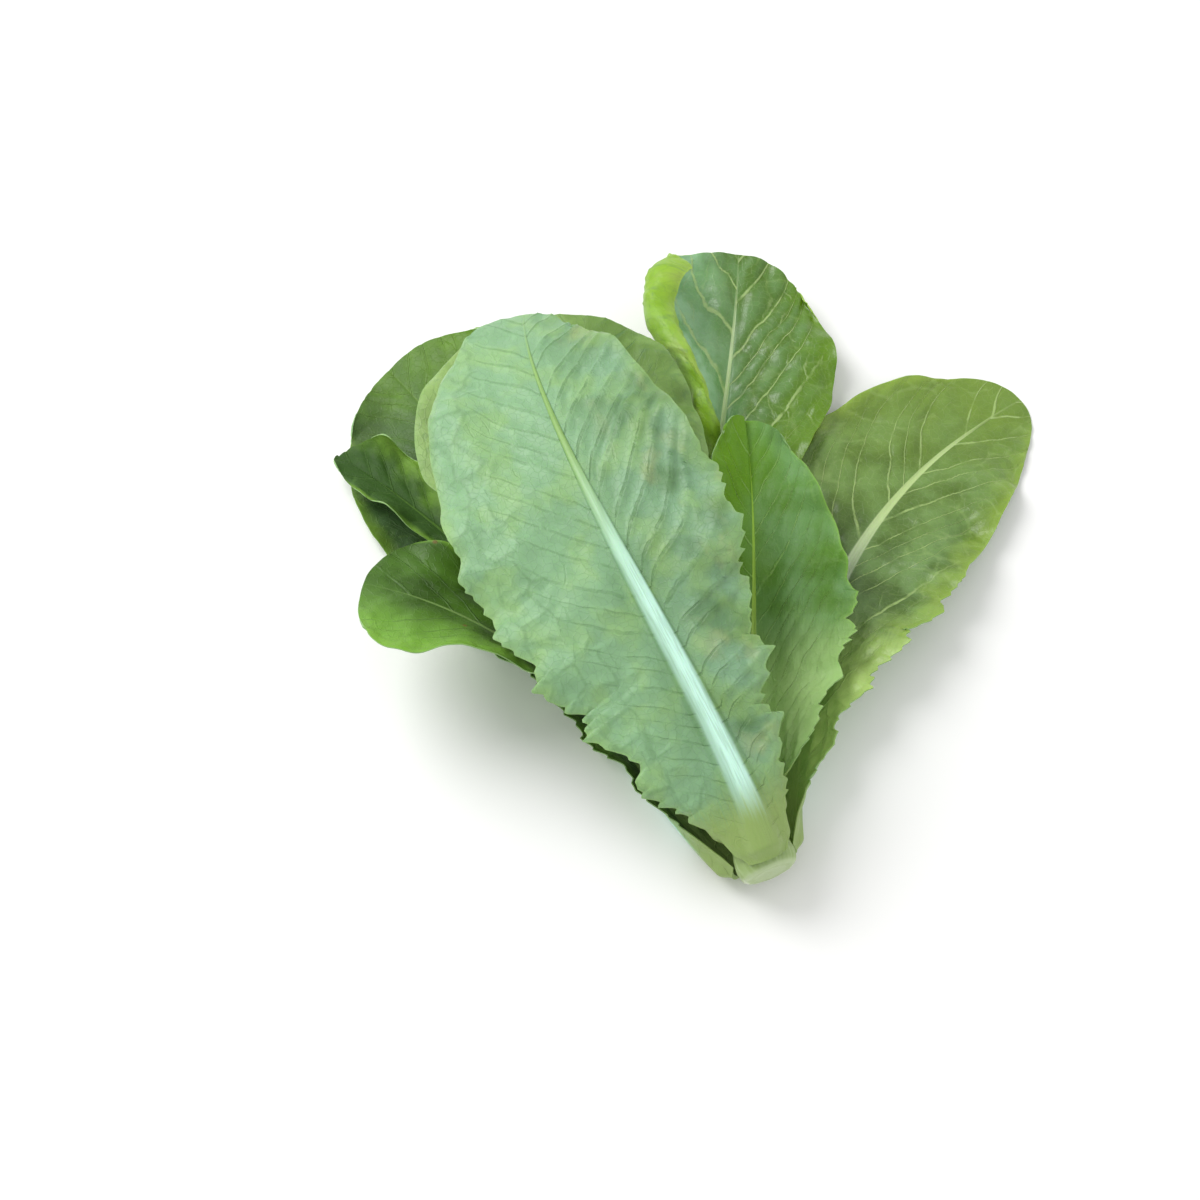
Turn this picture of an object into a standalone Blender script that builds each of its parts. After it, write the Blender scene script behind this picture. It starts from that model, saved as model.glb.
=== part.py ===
"""A young cos lettuce head, cut at the foot and laid down with its leaves fanned.

Each leaf is a grid of rows along its midrib and columns across it. A rule
bends the midrib, sets the outline with its teeth, folds and curls the
cross-section, and thickens the rib. The leaves are laid one on another from
the lowest to the highest: each is lifted clear of what lies below it, and
what comes down on the surface is pressed flat there.
"""
from dataclasses import dataclass

import bmesh
import bpy
import numpy as np

# Driving dimensions, in millimetres and degrees
MM = 0.001
STEM_HEADING = 112.0          # where the stem points, seen from above
STEM_PITCH = 5.0              # how far the stem rises
STEM_FOOT = np.array([0.0, 0.0, 15.0])
STEM_FOOT_RADIUS = 10.0
STEM_END_RADIUS = 3.5
STEM_LENGTH = 25.0
STEM_SIDES = 20
BUTT = 3.5                    # length of the butt below the lowest leaf
FOOT_GAP = 1.0                # between the stem and the foot of a leaf
FOOT_GAP_GROWTH = 0.055       # what that gap gains along the stem
BLADE = 0.75                  # thickness of a blade
RIB_HALF_WIDTH = 7.6          # of the midrib at the foot of a large leaf
RIB_RISE = 3.4                # of the midrib under the blade at the foot
LARGE_FOOT = 9.5              # half-width that the two rib sizes belong to
RIB_SAMPLES = 120
TIP_START = 0.93              # where the rounded tip takes over
ROWS_PER_TOOTH = 3
CLEARANCE = 2.0               # above what a leaf lies on
FREE_FROM, FREE_TO = 9.0, 26.0    # from the foot, where a leaf begins to give
PRESS, PRESS_TOP = 1.4, 7.0   # how far the low places are pressed down
NET_CELL = 2.0                # of the net that holds the heights below
NET_CORNER = (-190.0, -40.0)
NET_CELLS = 160
COLUMNS = np.arange(-5.0, 6.0)    # 0 is the middle of the rib, 1 its edge
UP = np.array([0.0, 0.0, 1.0])


@dataclass(frozen=True)
class Leaf:
    """One leaf. Pairs are (middle, tip) of the midrib or (left, right)."""

    name: str
    around: float             # place round the stem, 90 is on top
    up_stem: float            # of its foot, from the stem's foot
    length: float
    width: float
    widest: float             # place along the leaf
    lean: float               # how much wider the right half is
    splay: float              # away from the stem at the foot
    heading: tuple
    pitch: tuple
    roll: tuple               # 0 shows the upper face, 180 the under face
    fold: tuple
    curl: tuple
    wave: float
    teeth: float
    foot: float               # half-width of the foot
    rows: int
    seed: int
    taper: float = 0.6        # how fast the lower half widens
    folded_from: float = 0.3
    tip_fold: float = 0.6     # share of the fold left at the tip
    curl_power: float = 2.0   # how close the curl keeps to the margin
    waves: float = 5.0
    apex: float = 0.52        # how blunt the outline is past its widest place
    low: tuple = (1, 1)       # share of each half's width that the lower part keeps


# From the lowest to the highest
LEAVES = [
    Leaf("leaf_right", -25, 1, 221, 83, .60, -.08, 24, (64, 32), (3, -6), (-2, 4),
         (8, 2), (8, 0), 1.6, 5.5, 9.5, 30, 0, taper=.8),
    Leaf("leaf_left", -145, 1, 241, 100, .75, .1, 24, (98, 134), (1, 5), (-6, 14),
         (5, 11), (10, 14), 2.5, 5.0, 9.5, 30, 1),
    Leaf("leaf_top", -85, 9, 243, 98, .79, -.18, 12, (69, 87), (-2, 18), (-5, -3),
         (74, 3), (215, 4), 2.5, 4.0, 7.5, 30, 2, taper=1.0, folded_from=.68,
         tip_fold=.12, curl_power=3.6, apex=.62),
    Leaf("leaf_curly", -145, 16, 203, 29, .87, .32, 24, (121, 145), (1, 0), (-2, -1),
         (14, 20), (20, 70), 4.0, 4.0, 6.5, 26, 3, taper=.7),
    Leaf("leaf_inner", -35, 14, 149, 56, .48, .2, 20, (79, 97), (9, 14), (8, 8),
         (20, 7), (10, 1), 2.5, 4.5, 6.0, 26, 5, taper=.55, low=(.4, .95)),
    Leaf("leaf_round", -205, 9, 150, 53, .86, -.05, 24, (131, 169), (5, 1), (-50, -10),
         (1, 4), (8, 13), 1.5, 3.0, 7.5, 26, 4, taper=.68, waves=4),
    Leaf("heart_right", 35, 22, 96, 30, .62, 0, 10, (108, 104), (10, 4), (150, 170),
         (20, 20), (30, 30), 1.5, 1.5, 3.6, 18, 9, waves=4),
    Leaf("heart_top", 95, 16, 120, 46, .62, 0, 12, (114, 110), (10, -4), (182, 180),
         (12, 12), (30, 30), 1.5, 2.0, 6.5, 22, 10, waves=4),
    Leaf("leaf_under", 35, 9, 200, 101, .76, .285, 14, (138, 86), (9, -3), (168, 178),
         (4, 1), (15, 10), 2.5, 4.0, 7.5, 30, 6, taper=.5),
    Leaf("leaf_front", 95, 1, 221, 85, .57, .09, 20, (130, 92), (22, -30), (182, 187),
         (-6, -1), (4, 13), 2.0, 5.5, 9.5, 32, 7, taper=.65, low=(.78, 1)),
]

# Colour and roughness of each piece
LOOKS = {
    "stem": ((0.62, 0.68, 0.42, 1), 0.45),
    "leaf_right": ((0.16, 0.24, 0.03, 1), 0.42),
    "leaf_left": ((0.09, 0.19, 0.03, 1), 0.42),
    "leaf_top": ((0.11, 0.26, 0.06, 1), 0.40),
    "leaf_curly": ((0.02, 0.10, 0.01, 1), 0.30),
    "leaf_inner": ((0.15, 0.32, 0.05, 1), 0.42),
    "leaf_round": ((0.07, 0.19, 0.02, 1), 0.42),
    "heart_right": ((0.45, 0.60, 0.20, 1), 0.48),
    "heart_top": ((0.40, 0.58, 0.20, 1), 0.48),
    "leaf_under": ((0.14, 0.24, 0.06, 1), 0.50),
    "leaf_front": ((0.33, 0.55, 0.27, 1), 0.52),
}


def unit(vectors):
    return vectors / np.linalg.norm(vectors, axis=-1, keepdims=True)


def direction(heading, pitch):
    h, p = np.radians(heading), np.radians(pitch)
    return np.stack([np.cos(h) * np.cos(p), np.sin(h) * np.cos(p), np.sin(p)], axis=-1)


def smooth(low, high, x):
    t = np.clip((x - low) / (high - low), 0, 1)
    return t * t * (3 - 2 * t)


def bend(start, pair, u):
    """From a start value towards the pair's middle and on to its tip value."""
    return (1 - u) ** 2 * start + 2 * u * (1 - u) * pair[0] + u * u * pair[1]


# The stem and where the leaves stand on it
def stem_axes():
    axis = direction(STEM_HEADING, STEM_PITCH)
    up = unit(UP - axis[2] * axis)
    return axis, np.cross(axis, up), up


def stem_radius(along):
    share = np.clip(along / STEM_LENGTH, 0, 1)
    return STEM_FOOT_RADIUS + (STEM_END_RADIUS - STEM_FOOT_RADIUS) * share


def foot_radius(leaf):
    return stem_radius(leaf.up_stem) + FOOT_GAP + FOOT_GAP_GROWTH * leaf.up_stem


class Midrib:
    """The curve of a leaf's midrib and the frame that goes along it."""

    def __init__(self, leaf):
        axis, right, up = stem_axes()
        turn, splay = np.radians(leaf.around), np.radians(leaf.splay)
        outward = np.cos(turn) * right + np.sin(turn) * up
        first = np.cos(splay) * axis + np.sin(splay) * outward
        self.u = np.linspace(0, 1, RIB_SAMPLES + 1)
        heading = np.degrees(np.arctan2(first[1], first[0]))
        pitch = np.degrees(np.arcsin(first[2]))
        self.along = direction(bend(heading, leaf.heading, self.u),
                               bend(pitch, leaf.pitch, self.u))
        above = unit(UP - first[2] * first)
        inward = unit((outward @ first) * first - outward)
        roll = np.degrees(np.arctan2(-inward @ np.cross(first, above), inward @ above))
        roll += 360 * round((leaf.around + 90 - roll) / 360)
        self.roll = bend(roll, leaf.roll, self.u)
        start = STEM_FOOT + axis * leaf.up_stem + outward * foot_radius(leaf)
        steps = (self.along[1:] + self.along[:-1]) / 2 * leaf.length / RIB_SAMPLES
        self.points = np.vstack([start, start + np.cumsum(steps, axis=0)])

    def at(self, u):
        """Points, the upper face's normal and the way to the right."""
        def between(rows):
            return np.stack([np.interp(u, self.u, rows[:, k]) for k in range(3)], axis=-1)
        along = unit(between(self.along))
        roll = np.radians(np.interp(u, self.u, self.roll))[..., None]
        above = unit(UP - along[..., 2:3] * along)
        right = np.cross(along, above)
        normal = np.cos(roll) * above - np.sin(roll) * right
        return between(self.points), normal, np.cos(roll) * right + np.sin(roll) * above


# The outline and the cross-section
def tooth(x):
    """A saw edge with a slow rise and a quick fall."""
    part = x - np.floor(x)
    return np.where(part < 0.67, part / 0.67, (1 - part) / 0.33)


def uneven(count, seed):
    """A value from 0 to 1 for each tooth."""
    return np.modf(np.abs(np.sin(count * 12.9898 + seed * 78.233) * 43758.5453))[0]


def half_width(leaf, u, side):
    place = np.clip(u, 0, 1) ** (np.log(0.5) / np.log(leaf.widest))
    power = np.where(u < leaf.widest, leaf.taper, leaf.apex)
    body = leaf.width / 2 * (1 + leaf.lean * side) * np.sin(np.pi * place) ** power
    body = body * (0.45 + 0.55 * smooth(0.0, 0.12, u))
    body = body * (1 - (1 - leaf.low[int(side > 0)]) * (1 - smooth(0.15, 0.5, u)))
    foot = leaf.foot * (1 - smooth(0.0, 0.22, u))
    count = u * leaf.rows / ROWS_PER_TOOTH
    size = 0.45 + 0.75 * uneven(np.floor(count), leaf.seed * 2 + (side > 0))
    fade = smooth(0.03, 0.1, u) * (1 - smooth(0.42, 0.72, u))
    return body + foot + leaf.teeth * fade * size * tooth(count)


def section(fold, curl, power, v):
    """Way out and rise of a cross-section whose slope grows from fold by curl."""
    steps = 40
    s = np.linspace(0, 1, steps + 1)
    slope = fold[:, None] + curl[:, None] * s ** power
    middle = (slope[:, 1:] + slope[:, :-1]) / 2
    start = np.zeros((len(fold), 1))
    out = np.hstack([start, np.cumsum(np.cos(middle), axis=1) / steps])
    rise = np.hstack([start, np.cumsum(np.sin(middle), axis=1) / steps])
    rows = range(len(fold))
    return (np.stack([np.interp(v[i], s, out[i]) for i in rows]),
            np.stack([np.interp(v[i], s, rise[i]) for i in rows]))


def blade(leaf, along, columns):
    """The upper face, the thickness below it and the place along the leaf."""
    rib = Midrib(leaf)
    last = np.abs(columns).max()
    upper = np.zeros((len(along), len(columns), 3))
    depth, place = np.zeros(upper.shape[:2]), np.zeros(upper.shape[:2])
    leaf_size = min(1.0, leaf.foot / LARGE_FOOT)
    for side in (-1, 1):
        mine = np.nonzero(columns * side >= 0)[0]
        column = np.abs(columns[mine])[None, :] + 0 * along[:, None]
        row = (along * TIP_START)[:, None] + 0 * column
        width = half_width(leaf, row, side)
        rib_half = (RIB_HALF_WIDTH * (1 - row) ** 1.7 + 0.35) * leaf_size
        rib_half = np.minimum(rib_half, width * 0.8)
        out = np.where(column <= 1, column * rib_half,
                       rib_half + (width - rib_half) * (column - 1) / (last - 1))
        v = out / width
        u = along[:, None] * (TIP_START + (1 - TIP_START) * (1 - v ** 2.3))
        points, normal, right = rib.at(u)
        hand = int(side > 0)
        bent = smooth(leaf.folded_from - 0.3, leaf.folded_from, along)
        eased = bent * (1 - (1 - leaf.tip_fold) * smooth(0.5, 1.0, along))
        way, rise = section(np.radians(leaf.fold[hand]) * eased,
                            np.radians(leaf.curl[hand]) * bent,
                            leaf.curl_power, v)
        grown = smooth(0.0, 0.3, along)[:, None]
        clasp = np.maximum(leaf.foot / foot_radius(leaf) * (1 - grown), 1e-3)
        way = width * (np.sin(clasp * v) / clasp * (1 - grown) + way * grown)
        rise = width * ((1 - np.cos(clasp * v)) / clasp * (1 - grown) + rise * grown)
        phase = 2 * np.pi * (leaf.waves * u + 0.37 * leaf.seed + 0.29 * hand)
        swing = np.sin(phase) + 0.35 * np.sin(2.3 * phase + 1)
        rise = rise + leaf.wave * smooth(0.1, 0.35, u) * v ** 2 * swing
        upper[:, mine] = points + (side * way)[..., None] * right + rise[..., None] * normal
        ridge = np.clip(1 - (out / rib_half) ** 2, 0, 1) ** 0.8
        depth[:, mine] = BLADE + RIB_RISE * leaf_size * (1 - u) ** 1.1 * ridge
        place[:, mine] = u
    return upper, depth, place


def both_faces(upper, depth):
    """Upper and under face, pressed flat where they come down on the surface."""
    normal = unit(np.cross(np.gradient(upper, axis=1), np.gradient(upper, axis=0)))
    under = upper - normal * depth[..., None]
    low = np.minimum(upper[..., 2], under[..., 2])
    pressed = np.maximum(0, (low - PRESS) * PRESS_TOP / (PRESS_TOP - PRESS))
    move = np.where(low < PRESS_TOP, pressed - low, 0)[..., None] * UP
    return upper + move, under + move


# Laying the leaves on each other
class Heights:
    """The highest points of what lies below, on a square net."""

    def __init__(self):
        self.top = np.zeros((NET_CELLS, NET_CELLS))

    def cells(self, points):
        return [np.clip(np.rint((points[..., k] - NET_CORNER[k]) / NET_CELL).astype(int),
                        0, NET_CELLS - 1) for k in (0, 1)]

    def add(self, face):
        steps = np.linspace(0, 1, 7)
        for a in steps:
            for b in steps:
                near = (1 - b) * face[:, :-1] + b * face[:, 1:]
                points = (1 - a) * near[:-1] + a * near[1:]
                i, j = self.cells(points)
                np.maximum.at(self.top, (i.ravel(), j.ravel()), points[..., 2].ravel())

    def near(self, points):
        i, j = self.cells(points)
        found = np.zeros(i.shape)
        for di in range(-2, 3):
            for dj in range(-2, 3):
                row = np.clip(i + di, 0, NET_CELLS - 1)
                found = np.maximum(found, self.top[row, np.clip(j + dj, 0, NET_CELLS - 1)])
        return found


def widened(need):
    rows, columns = need.shape
    padded = np.pad(need, 1, mode="edge")
    return np.max([padded[i:i + rows, j:j + columns]
                   for i in range(3) for j in range(3)], axis=0)


def blurred(need):
    padded = np.pad(need, 1, mode="edge")
    sides = padded[:-2, 1:-1] + padded[2:, 1:-1] + padded[1:-1, :-2] + padded[1:-1, 2:]
    return (4 * need + sides) / 8


def settled(leaf, upper, depth, place, below):
    """The upper face lifted until both faces lie clear of what is below."""
    gives = smooth(FREE_FROM, FREE_TO, place * leaf.length)
    for _ in range(5):
        faces = both_faces(upper, depth)
        top = np.maximum(below.near(faces[0]), below.near(faces[1]))
        lowest = np.minimum(faces[0][..., 2], faces[1][..., 2])
        sunk = -np.minimum(upper[..., 2], upper[..., 2] - depth)
        need = np.where(top > 0, top + CLEARANCE - lowest, sunk)
        need = np.maximum(0, need) * gives
        lift = widened(need)
        for _ in range(12):
            lift = np.maximum(blurred(lift), need)
        upper = upper + lift[..., None] * UP
        if need.max() < 0.05:
            break
    return upper


# Making the objects
def material(name):
    colour, roughness = LOOKS[name]
    made = bpy.data.materials.new(name + "_material")
    made.use_nodes = True
    shader = made.node_tree.nodes["Principled BSDF"]
    shader.inputs["Base Color"].default_value = colour
    shader.inputs["Roughness"].default_value = roughness
    shader.inputs["Metallic"].default_value = 0.0
    made.diffuse_color = colour
    return made


def place_object(name, mesh, location, collection, parent):
    mesh.materials.append(material(name))
    made = bpy.data.objects.new(name, mesh)
    made.location = location
    made.parent = parent
    collection.objects.link(made)
    return made


def leaf_object(leaf, faces, collection, parent):
    """A triangulated grid, extruded to a closed blade and bent by the rule."""
    rows, columns = faces[0].shape[:2]
    origin = faces[0][0, columns // 2]
    grid = bmesh.new()
    bmesh.ops.create_grid(grid, x_segments=columns - 1, y_segments=rows - 1, size=1)
    bmesh.ops.triangulate(grid, faces=grid.faces[:])
    for copied in bmesh.ops.extrude_face_region(grid, geom=grid.faces[:])["geom"]:
        if isinstance(copied, bmesh.types.BMVert):
            copied.co.z = -1
    for vert in grid.verts:
        row = round((vert.co.y + 1) / 2 * (rows - 1))
        column = round((vert.co.x + 1) / 2 * (columns - 1))
        face = faces[1] if vert.co.z < -0.5 else faces[0]
        vert.co = (face[row, column] - origin) * MM
    bmesh.ops.triangulate(grid, faces=grid.faces[:])
    bmesh.ops.recalc_face_normals(grid, faces=grid.faces[:])
    mesh = bpy.data.meshes.new(leaf.name)
    grid.to_mesh(mesh)
    grid.free()
    return place_object(leaf.name, mesh, origin * MM, collection, parent)


def stem_object(collection, parent):
    """A turned butt and core: the cut face, its rounded rim and the taper."""
    profile = [(0.0, -BUTT), (6.2, -BUTT), (8.6, -BUTT + 0.4), (9.7, -BUTT + 1.4),
               (STEM_FOOT_RADIUS, 0.0), (stem_radius(8.0), 8.0), (stem_radius(16.0), 16.0),
               (STEM_END_RADIUS, STEM_LENGTH), (2.2, STEM_LENGTH + 2.5), (0.0, STEM_LENGTH + 3.2)]
    outline = bmesh.new()
    verts = [outline.verts.new((r * MM, 0, z * MM)) for r, z in profile]
    for first, second in zip(verts, verts[1:]):
        outline.edges.new((first, second))
    mesh = bpy.data.meshes.new("stem")
    outline.to_mesh(mesh)
    outline.free()
    made = place_object("stem", mesh, STEM_FOOT * MM, collection, parent)
    made.rotation_euler = (0, np.radians(90 - STEM_PITCH), np.radians(STEM_HEADING))
    turned = made.modifiers.new("turned", "SCREW")
    turned.axis = "Z"
    turned.steps = turned.render_steps = STEM_SIDES
    turned.use_merge_vertices = True
    turned.merge_threshold = 0.00001
    turned.use_normal_calculate = True
    return made


def centred(head, collection):
    """The middle of the spread comes over the world's origin."""
    bpy.context.view_layer.update()
    graph = bpy.context.evaluated_depsgraph_get()
    points = []
    for piece in collection.objects:
        if piece.type == "MESH":
            mesh = piece.evaluated_get(graph).to_mesh()
            points += [piece.matrix_world @ vert.co for vert in mesh.vertices]
    points = np.array(points)
    middle = (points.min(axis=0) + points.max(axis=0)) / 2
    head.location = (-middle[0], -middle[1], 0)


def main():
    for old in list(bpy.data.objects):
        bpy.data.objects.remove(old, do_unlink=True)
    collection = bpy.data.collections.new("lettuce_head")
    bpy.context.scene.collection.children.link(collection)
    head = bpy.data.objects.new("head", None)
    collection.objects.link(head)

    below = Heights()
    for leaf in LEAVES:
        upper, depth, place = blade(leaf, np.linspace(0, 1, leaf.rows), COLUMNS)
        faces = both_faces(settled(leaf, upper, depth, place, below), depth)
        for face in faces:
            below.add(face)
        leaf_object(leaf, faces, collection, head)
    stem_object(collection, head)
    centred(head, collection)


main()
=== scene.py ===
"""Looks of a young cos lettuce head that lies with its leaves fanned.

Each leaf is laid by the same rule as its solid, on a finer grid, and gets its
veins, puckers, teeth and finish here. Lengths are in millimetres until a mesh
is made from them.
"""
import logging
from dataclasses import dataclass, field, replace
from enum import Enum

import bmesh
import bpy
import numpy as np
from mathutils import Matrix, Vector


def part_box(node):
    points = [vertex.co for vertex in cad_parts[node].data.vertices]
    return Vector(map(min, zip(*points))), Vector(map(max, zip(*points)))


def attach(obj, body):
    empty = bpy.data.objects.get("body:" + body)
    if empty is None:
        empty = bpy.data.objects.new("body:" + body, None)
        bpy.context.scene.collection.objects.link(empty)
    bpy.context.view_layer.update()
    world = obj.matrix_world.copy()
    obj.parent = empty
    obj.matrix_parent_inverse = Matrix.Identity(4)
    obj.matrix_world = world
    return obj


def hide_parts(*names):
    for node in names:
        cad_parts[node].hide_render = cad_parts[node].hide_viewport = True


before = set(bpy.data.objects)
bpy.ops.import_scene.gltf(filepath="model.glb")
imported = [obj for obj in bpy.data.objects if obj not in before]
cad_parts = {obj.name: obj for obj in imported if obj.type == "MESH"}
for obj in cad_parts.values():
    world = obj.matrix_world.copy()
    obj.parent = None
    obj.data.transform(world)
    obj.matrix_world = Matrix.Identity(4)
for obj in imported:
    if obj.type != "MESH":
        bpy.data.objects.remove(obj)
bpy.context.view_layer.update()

Array = np.ndarray
Socket = bpy.types.NodeSocket
Colour = tuple[float, float, float, float]
log = logging.getLogger("cos_lettuce")

MM = 0.001
MERGE = 1e-6                  # metres between points that are one
SHARP = np.radians(60)        # angle from which an edge is not smoothed
UP = np.array([0.0, 0.0, 1.0])
BODY = "root"

# Shape of every leaf
BLADE = 0.75                  # thickness of a blade
THIN_EDGE = 0.5               # share of it that is left at the margin
THIN_FOOT = 0.35              # share of the thickness that is left at the end of the foot
FOOT_CORNER = 2.2             # how much narrower the end of the foot is
FOOT_END = 5.0                # length of the foot's rounded end
RIB_HALF_WIDTH = 7.6          # of the midrib at the foot of a large leaf
RIB_RISE = 3.4                # of the midrib under the blade at the foot
LARGE_FOOT = 9.5              # half-width that the two rib sizes belong to
RIB_TRIM = 0.72               # how much narrower the ridge is on the fine grid
TIP_START = 0.93              # where the rounded tip takes over
TIP_ROUND = 2.3               # how blunt that tip is
RIB_TAPER, RIDGE_TAPER = 1.7, 1.1    # powers by which the rib gets narrow and thin
RIB_LEAST, RIB_MOST = 0.35, 0.8      # of its half-width, and share of the leaf's
RIDGE_ROUND = 0.8             # power that rounds the ridge
WAIST, ABOVE_WAIST = 0.45, 0.55      # shares of the outline at the foot
RIB_SAMPLES, SECTION_STEPS = 120, 40    # steps of the curves along and across a leaf

# Teeth, with places as shares of the way along the leaf
ROWS_PER_TOOTH = 3
TOOTH_RISE, TOOTH_FALL = 0.67, 0.33
TOOTH_LEAST, TOOTH_SPREAD = 0.45, 0.75
TEETH_BEGIN, TEETH_END = (0.03, 0.1), (0.42, 0.72)
SMALL_TOOTH = 5.0             # length of a small tooth
SMALL_BEGIN, SMALL_END = (0.02, 0.08), (0.36, 0.66)
SMALL_SHARE, SMALL_MIDDLE = 0.42, 0.35

# Length and width of what makes a blade uneven
STRAY, SMALL_STRAY, CELL_SWAY = (16, 11), (7, 6), (9, 9)
PUCKER, BORDER, FOLD = (19, 15), (23, 40), (5.5, 60)
CRUMPLE, LARGE_CRUMPLE = (3.4, 3.0), (6.1, 5.2)
UNEVEN_TEETH, UNEVEN_EDGE, RUFFLE = 9, 7, 8    # lengths along the margin

# How the leaves lie on each other and on the surface
CLEARANCE = 2.0               # between a leaf and what lies below it
FREE_FROM, FREE_TO = 9.0, 26.0    # how far up a leaf begins to give and gives fully
PRESS, PRESS_TOP = 1.4, 7.0   # heights that end up on the surface and that stay
NET_CELL = 2.0                # side of a square of the net of heights
NET_CORNER = (-190.0, -40.0)
NET_CELLS = 160
NET_REACH = 2                 # cells round a point that count for it
FACE_STEPS = 7                # points on a square's side that go into the net
SETTLE_ROUNDS, SPREAD_ROUNDS = 5, 12
SETTLED = 0.05                # a need for lift so small ends the rounds
COLUMNS = np.arange(-5.0, 6.0)    # 0 is the middle of the rib, 1 its edge

# The pattern of the cells between the veins
GOLDEN = 0.618034             # shift of the cells from one band to the next
UV_SCALE = 0.01               # of a millimetre in the place map
TURN_SCALE = 0.1              # of a radian round the stem in its place map


class Face(Enum):
    """The two faces of a leaf, by material slot."""

    UPPER = 0
    UNDER = 1


# Small helpers
def unit(vectors: Array) -> Array:
    """Vectors scaled to length one."""
    return vectors / np.linalg.norm(vectors, axis=-1, keepdims=True)


def direction(heading: Array, pitch: Array) -> Array:
    """Unit vectors from headings and pitches in degrees."""
    h, p = np.radians(heading), np.radians(pitch)
    return np.stack([np.cos(h) * np.cos(p), np.sin(h) * np.cos(p), np.sin(p)], axis=-1)


def smooth(low: float, high: float, x: Array) -> Array:
    """A soft step from 0 at low to 1 at high."""
    t = np.clip((x - low) / (high - low), 0, 1)
    return t * t * (3 - 2 * t)


def window(begin: tuple, end: tuple, x: Array) -> Array:
    """Softly up from 0 to 1 over one stretch and down again over the other."""
    return smooth(*begin, x) * (1 - smooth(*end, x))


def normals(face: Array) -> Array:
    """Which way each point of a net of points looks."""
    return unit(np.cross(np.gradient(face, axis=1), np.gradient(face, axis=0)))


def bend(start: float, pair: tuple, u: Array) -> Array:
    """From a start value towards the pair's middle and on to its tip value."""
    return (1 - u) ** 2 * start + 2 * u * (1 - u) * pair[0] + u * u * pair[1]


def uneven(count: Array, seed: float) -> Array:
    """A value from 0 to 1 for each whole number."""
    return np.modf(np.abs(np.sin(count * 12.9898 + seed * 78.233) * 43758.5453))[0]


def ripple(x: Array, y: Array, seed: float) -> Array:
    """Smooth uneven values from -1 to 1 over a plane, about one swell per unit.

    Args:
        x: Places one way.
        y: Places the other way.
        seed: Which pattern.

    Returns:
        The value at each place.
    """
    i, j = np.floor(x), np.floor(y)
    f, g = smooth(0, 1, x - i), smooth(0, 1, y - j)

    def corner(a: int, b: int) -> Array:
        """The value at one corner of each square."""
        return 2 * uneven((i + a) * 1.7 + (j + b) * 57.3, seed) - 1
    low = corner(0, 0) * (1 - f) + corner(1, 0) * f
    high = corner(0, 1) * (1 - f) + corner(1, 1) * f
    return low * (1 - g) + high * g


def swells(s: Array, t: Array, size: tuple, seed: float) -> Array:
    """Ripples of a length along s and a width along t."""
    return ripple(s / size[0], t / size[1], seed)


def blisters(x: Array, y: Array, seed: float) -> Array:
    """How far each point is from the border of its uneven cell.

    Args:
        x: Places one way, in cells.
        y: Places the other way, in cells.
        seed: Which pattern.

    Returns:
        The distance, in cells.
    """
    near, after = np.full(x.shape, 9.0), np.full(x.shape, 9.0)
    for a in (-1, 0, 1):
        for b in (-1, 0, 1):
            i, j = np.floor(x) + a, np.floor(y) + b
            away = np.hypot(x - i - 0.12 - 0.76 * uneven(i * 1.7 + j * 57.3, seed),
                            y - j - 0.12 - 0.76 * uneven(i * 31.1 + j * 7.7, seed + 1))
            after = np.minimum(after, np.maximum(near, away))
            near = np.minimum(near, away)
    return (after - near) / 2


def seen(red: int, green: int, blue: int) -> Colour:
    """A linear colour from the screen values of a colour, 0 to 255.

    Args:
        red: Its red value.
        green: Its green value.
        blue: Its blue value.

    Returns:
        The colour, opaque.
    """
    shares = np.array([red, green, blue]) / 255
    linear = np.where(shares <= 0.04045, shares / 12.92, ((shares + 0.055) / 1.055) ** 2.4)
    return (*(float(x) for x in linear), 1.0)


# Looks that every finish has
WHITE = (1.0, 1.0, 1.0, 1.0)
SPECK = seen(120, 82, 40)
SPECK_SHARE = 0.7
RIB_PAINTED_SHADE_WIDTH = 2.5             # millimetres over which the painted shade turns the rib's right half green
DAMP = 0.24                   # how much the roughness varies

# Swells of each noise on 100 mm, the unit of the place map, and how it is stretched
SWAY_SWELLS, BREAK_SWELLS, WARP_SWELLS = 22.0, 15.0, 30.0
LEAN_SWELLS, YELLOW_SWELLS, WARM_SWELLS = 9.0, 6.3, 4.3
HALO_SWELLS, FIBRE_SWELLS, MARGIN_SWELLS = 14.0, 60.0, 12.0
DAMP_SWELLS, GRAIN_SWELLS, SPECK_CELLS = 18.0, 160.0, 9.0
SKIN_SWELLS, CUT_SWELLS = 40.0, 30.0
WARM_STRETCH, FIBRE_STRETCH, SKIN_STRETCH = (1.0, 1.3, 1.0), (0.12, 2.4, 1.0), (2.0, 0.3, 1.0)
WARP = (0.03, 0.03, 0.0)      # how far the finest net is pushed about


# Wiring of node trees
class Value:
    """A socket whose value can be reckoned with like a number."""

    def __init__(self, graph: "Graph", socket: Socket) -> None:
        """Keeps the tree and the socket."""
        self.graph, self.socket = graph, socket

    def __add__(self, other: object) -> "Value":
        """The sum."""
        return self.graph.math("ADD", self, other)

    def __sub__(self, other: object) -> "Value":
        """The difference."""
        return self.graph.math("SUBTRACT", self, other)

    def __rsub__(self, other: object) -> "Value":
        """The difference from a plain number."""
        return self.graph.math("SUBTRACT", other, self)

    def __mul__(self, other: object) -> "Value":
        """The product."""
        return self.graph.math("MULTIPLY", self, other)


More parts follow.
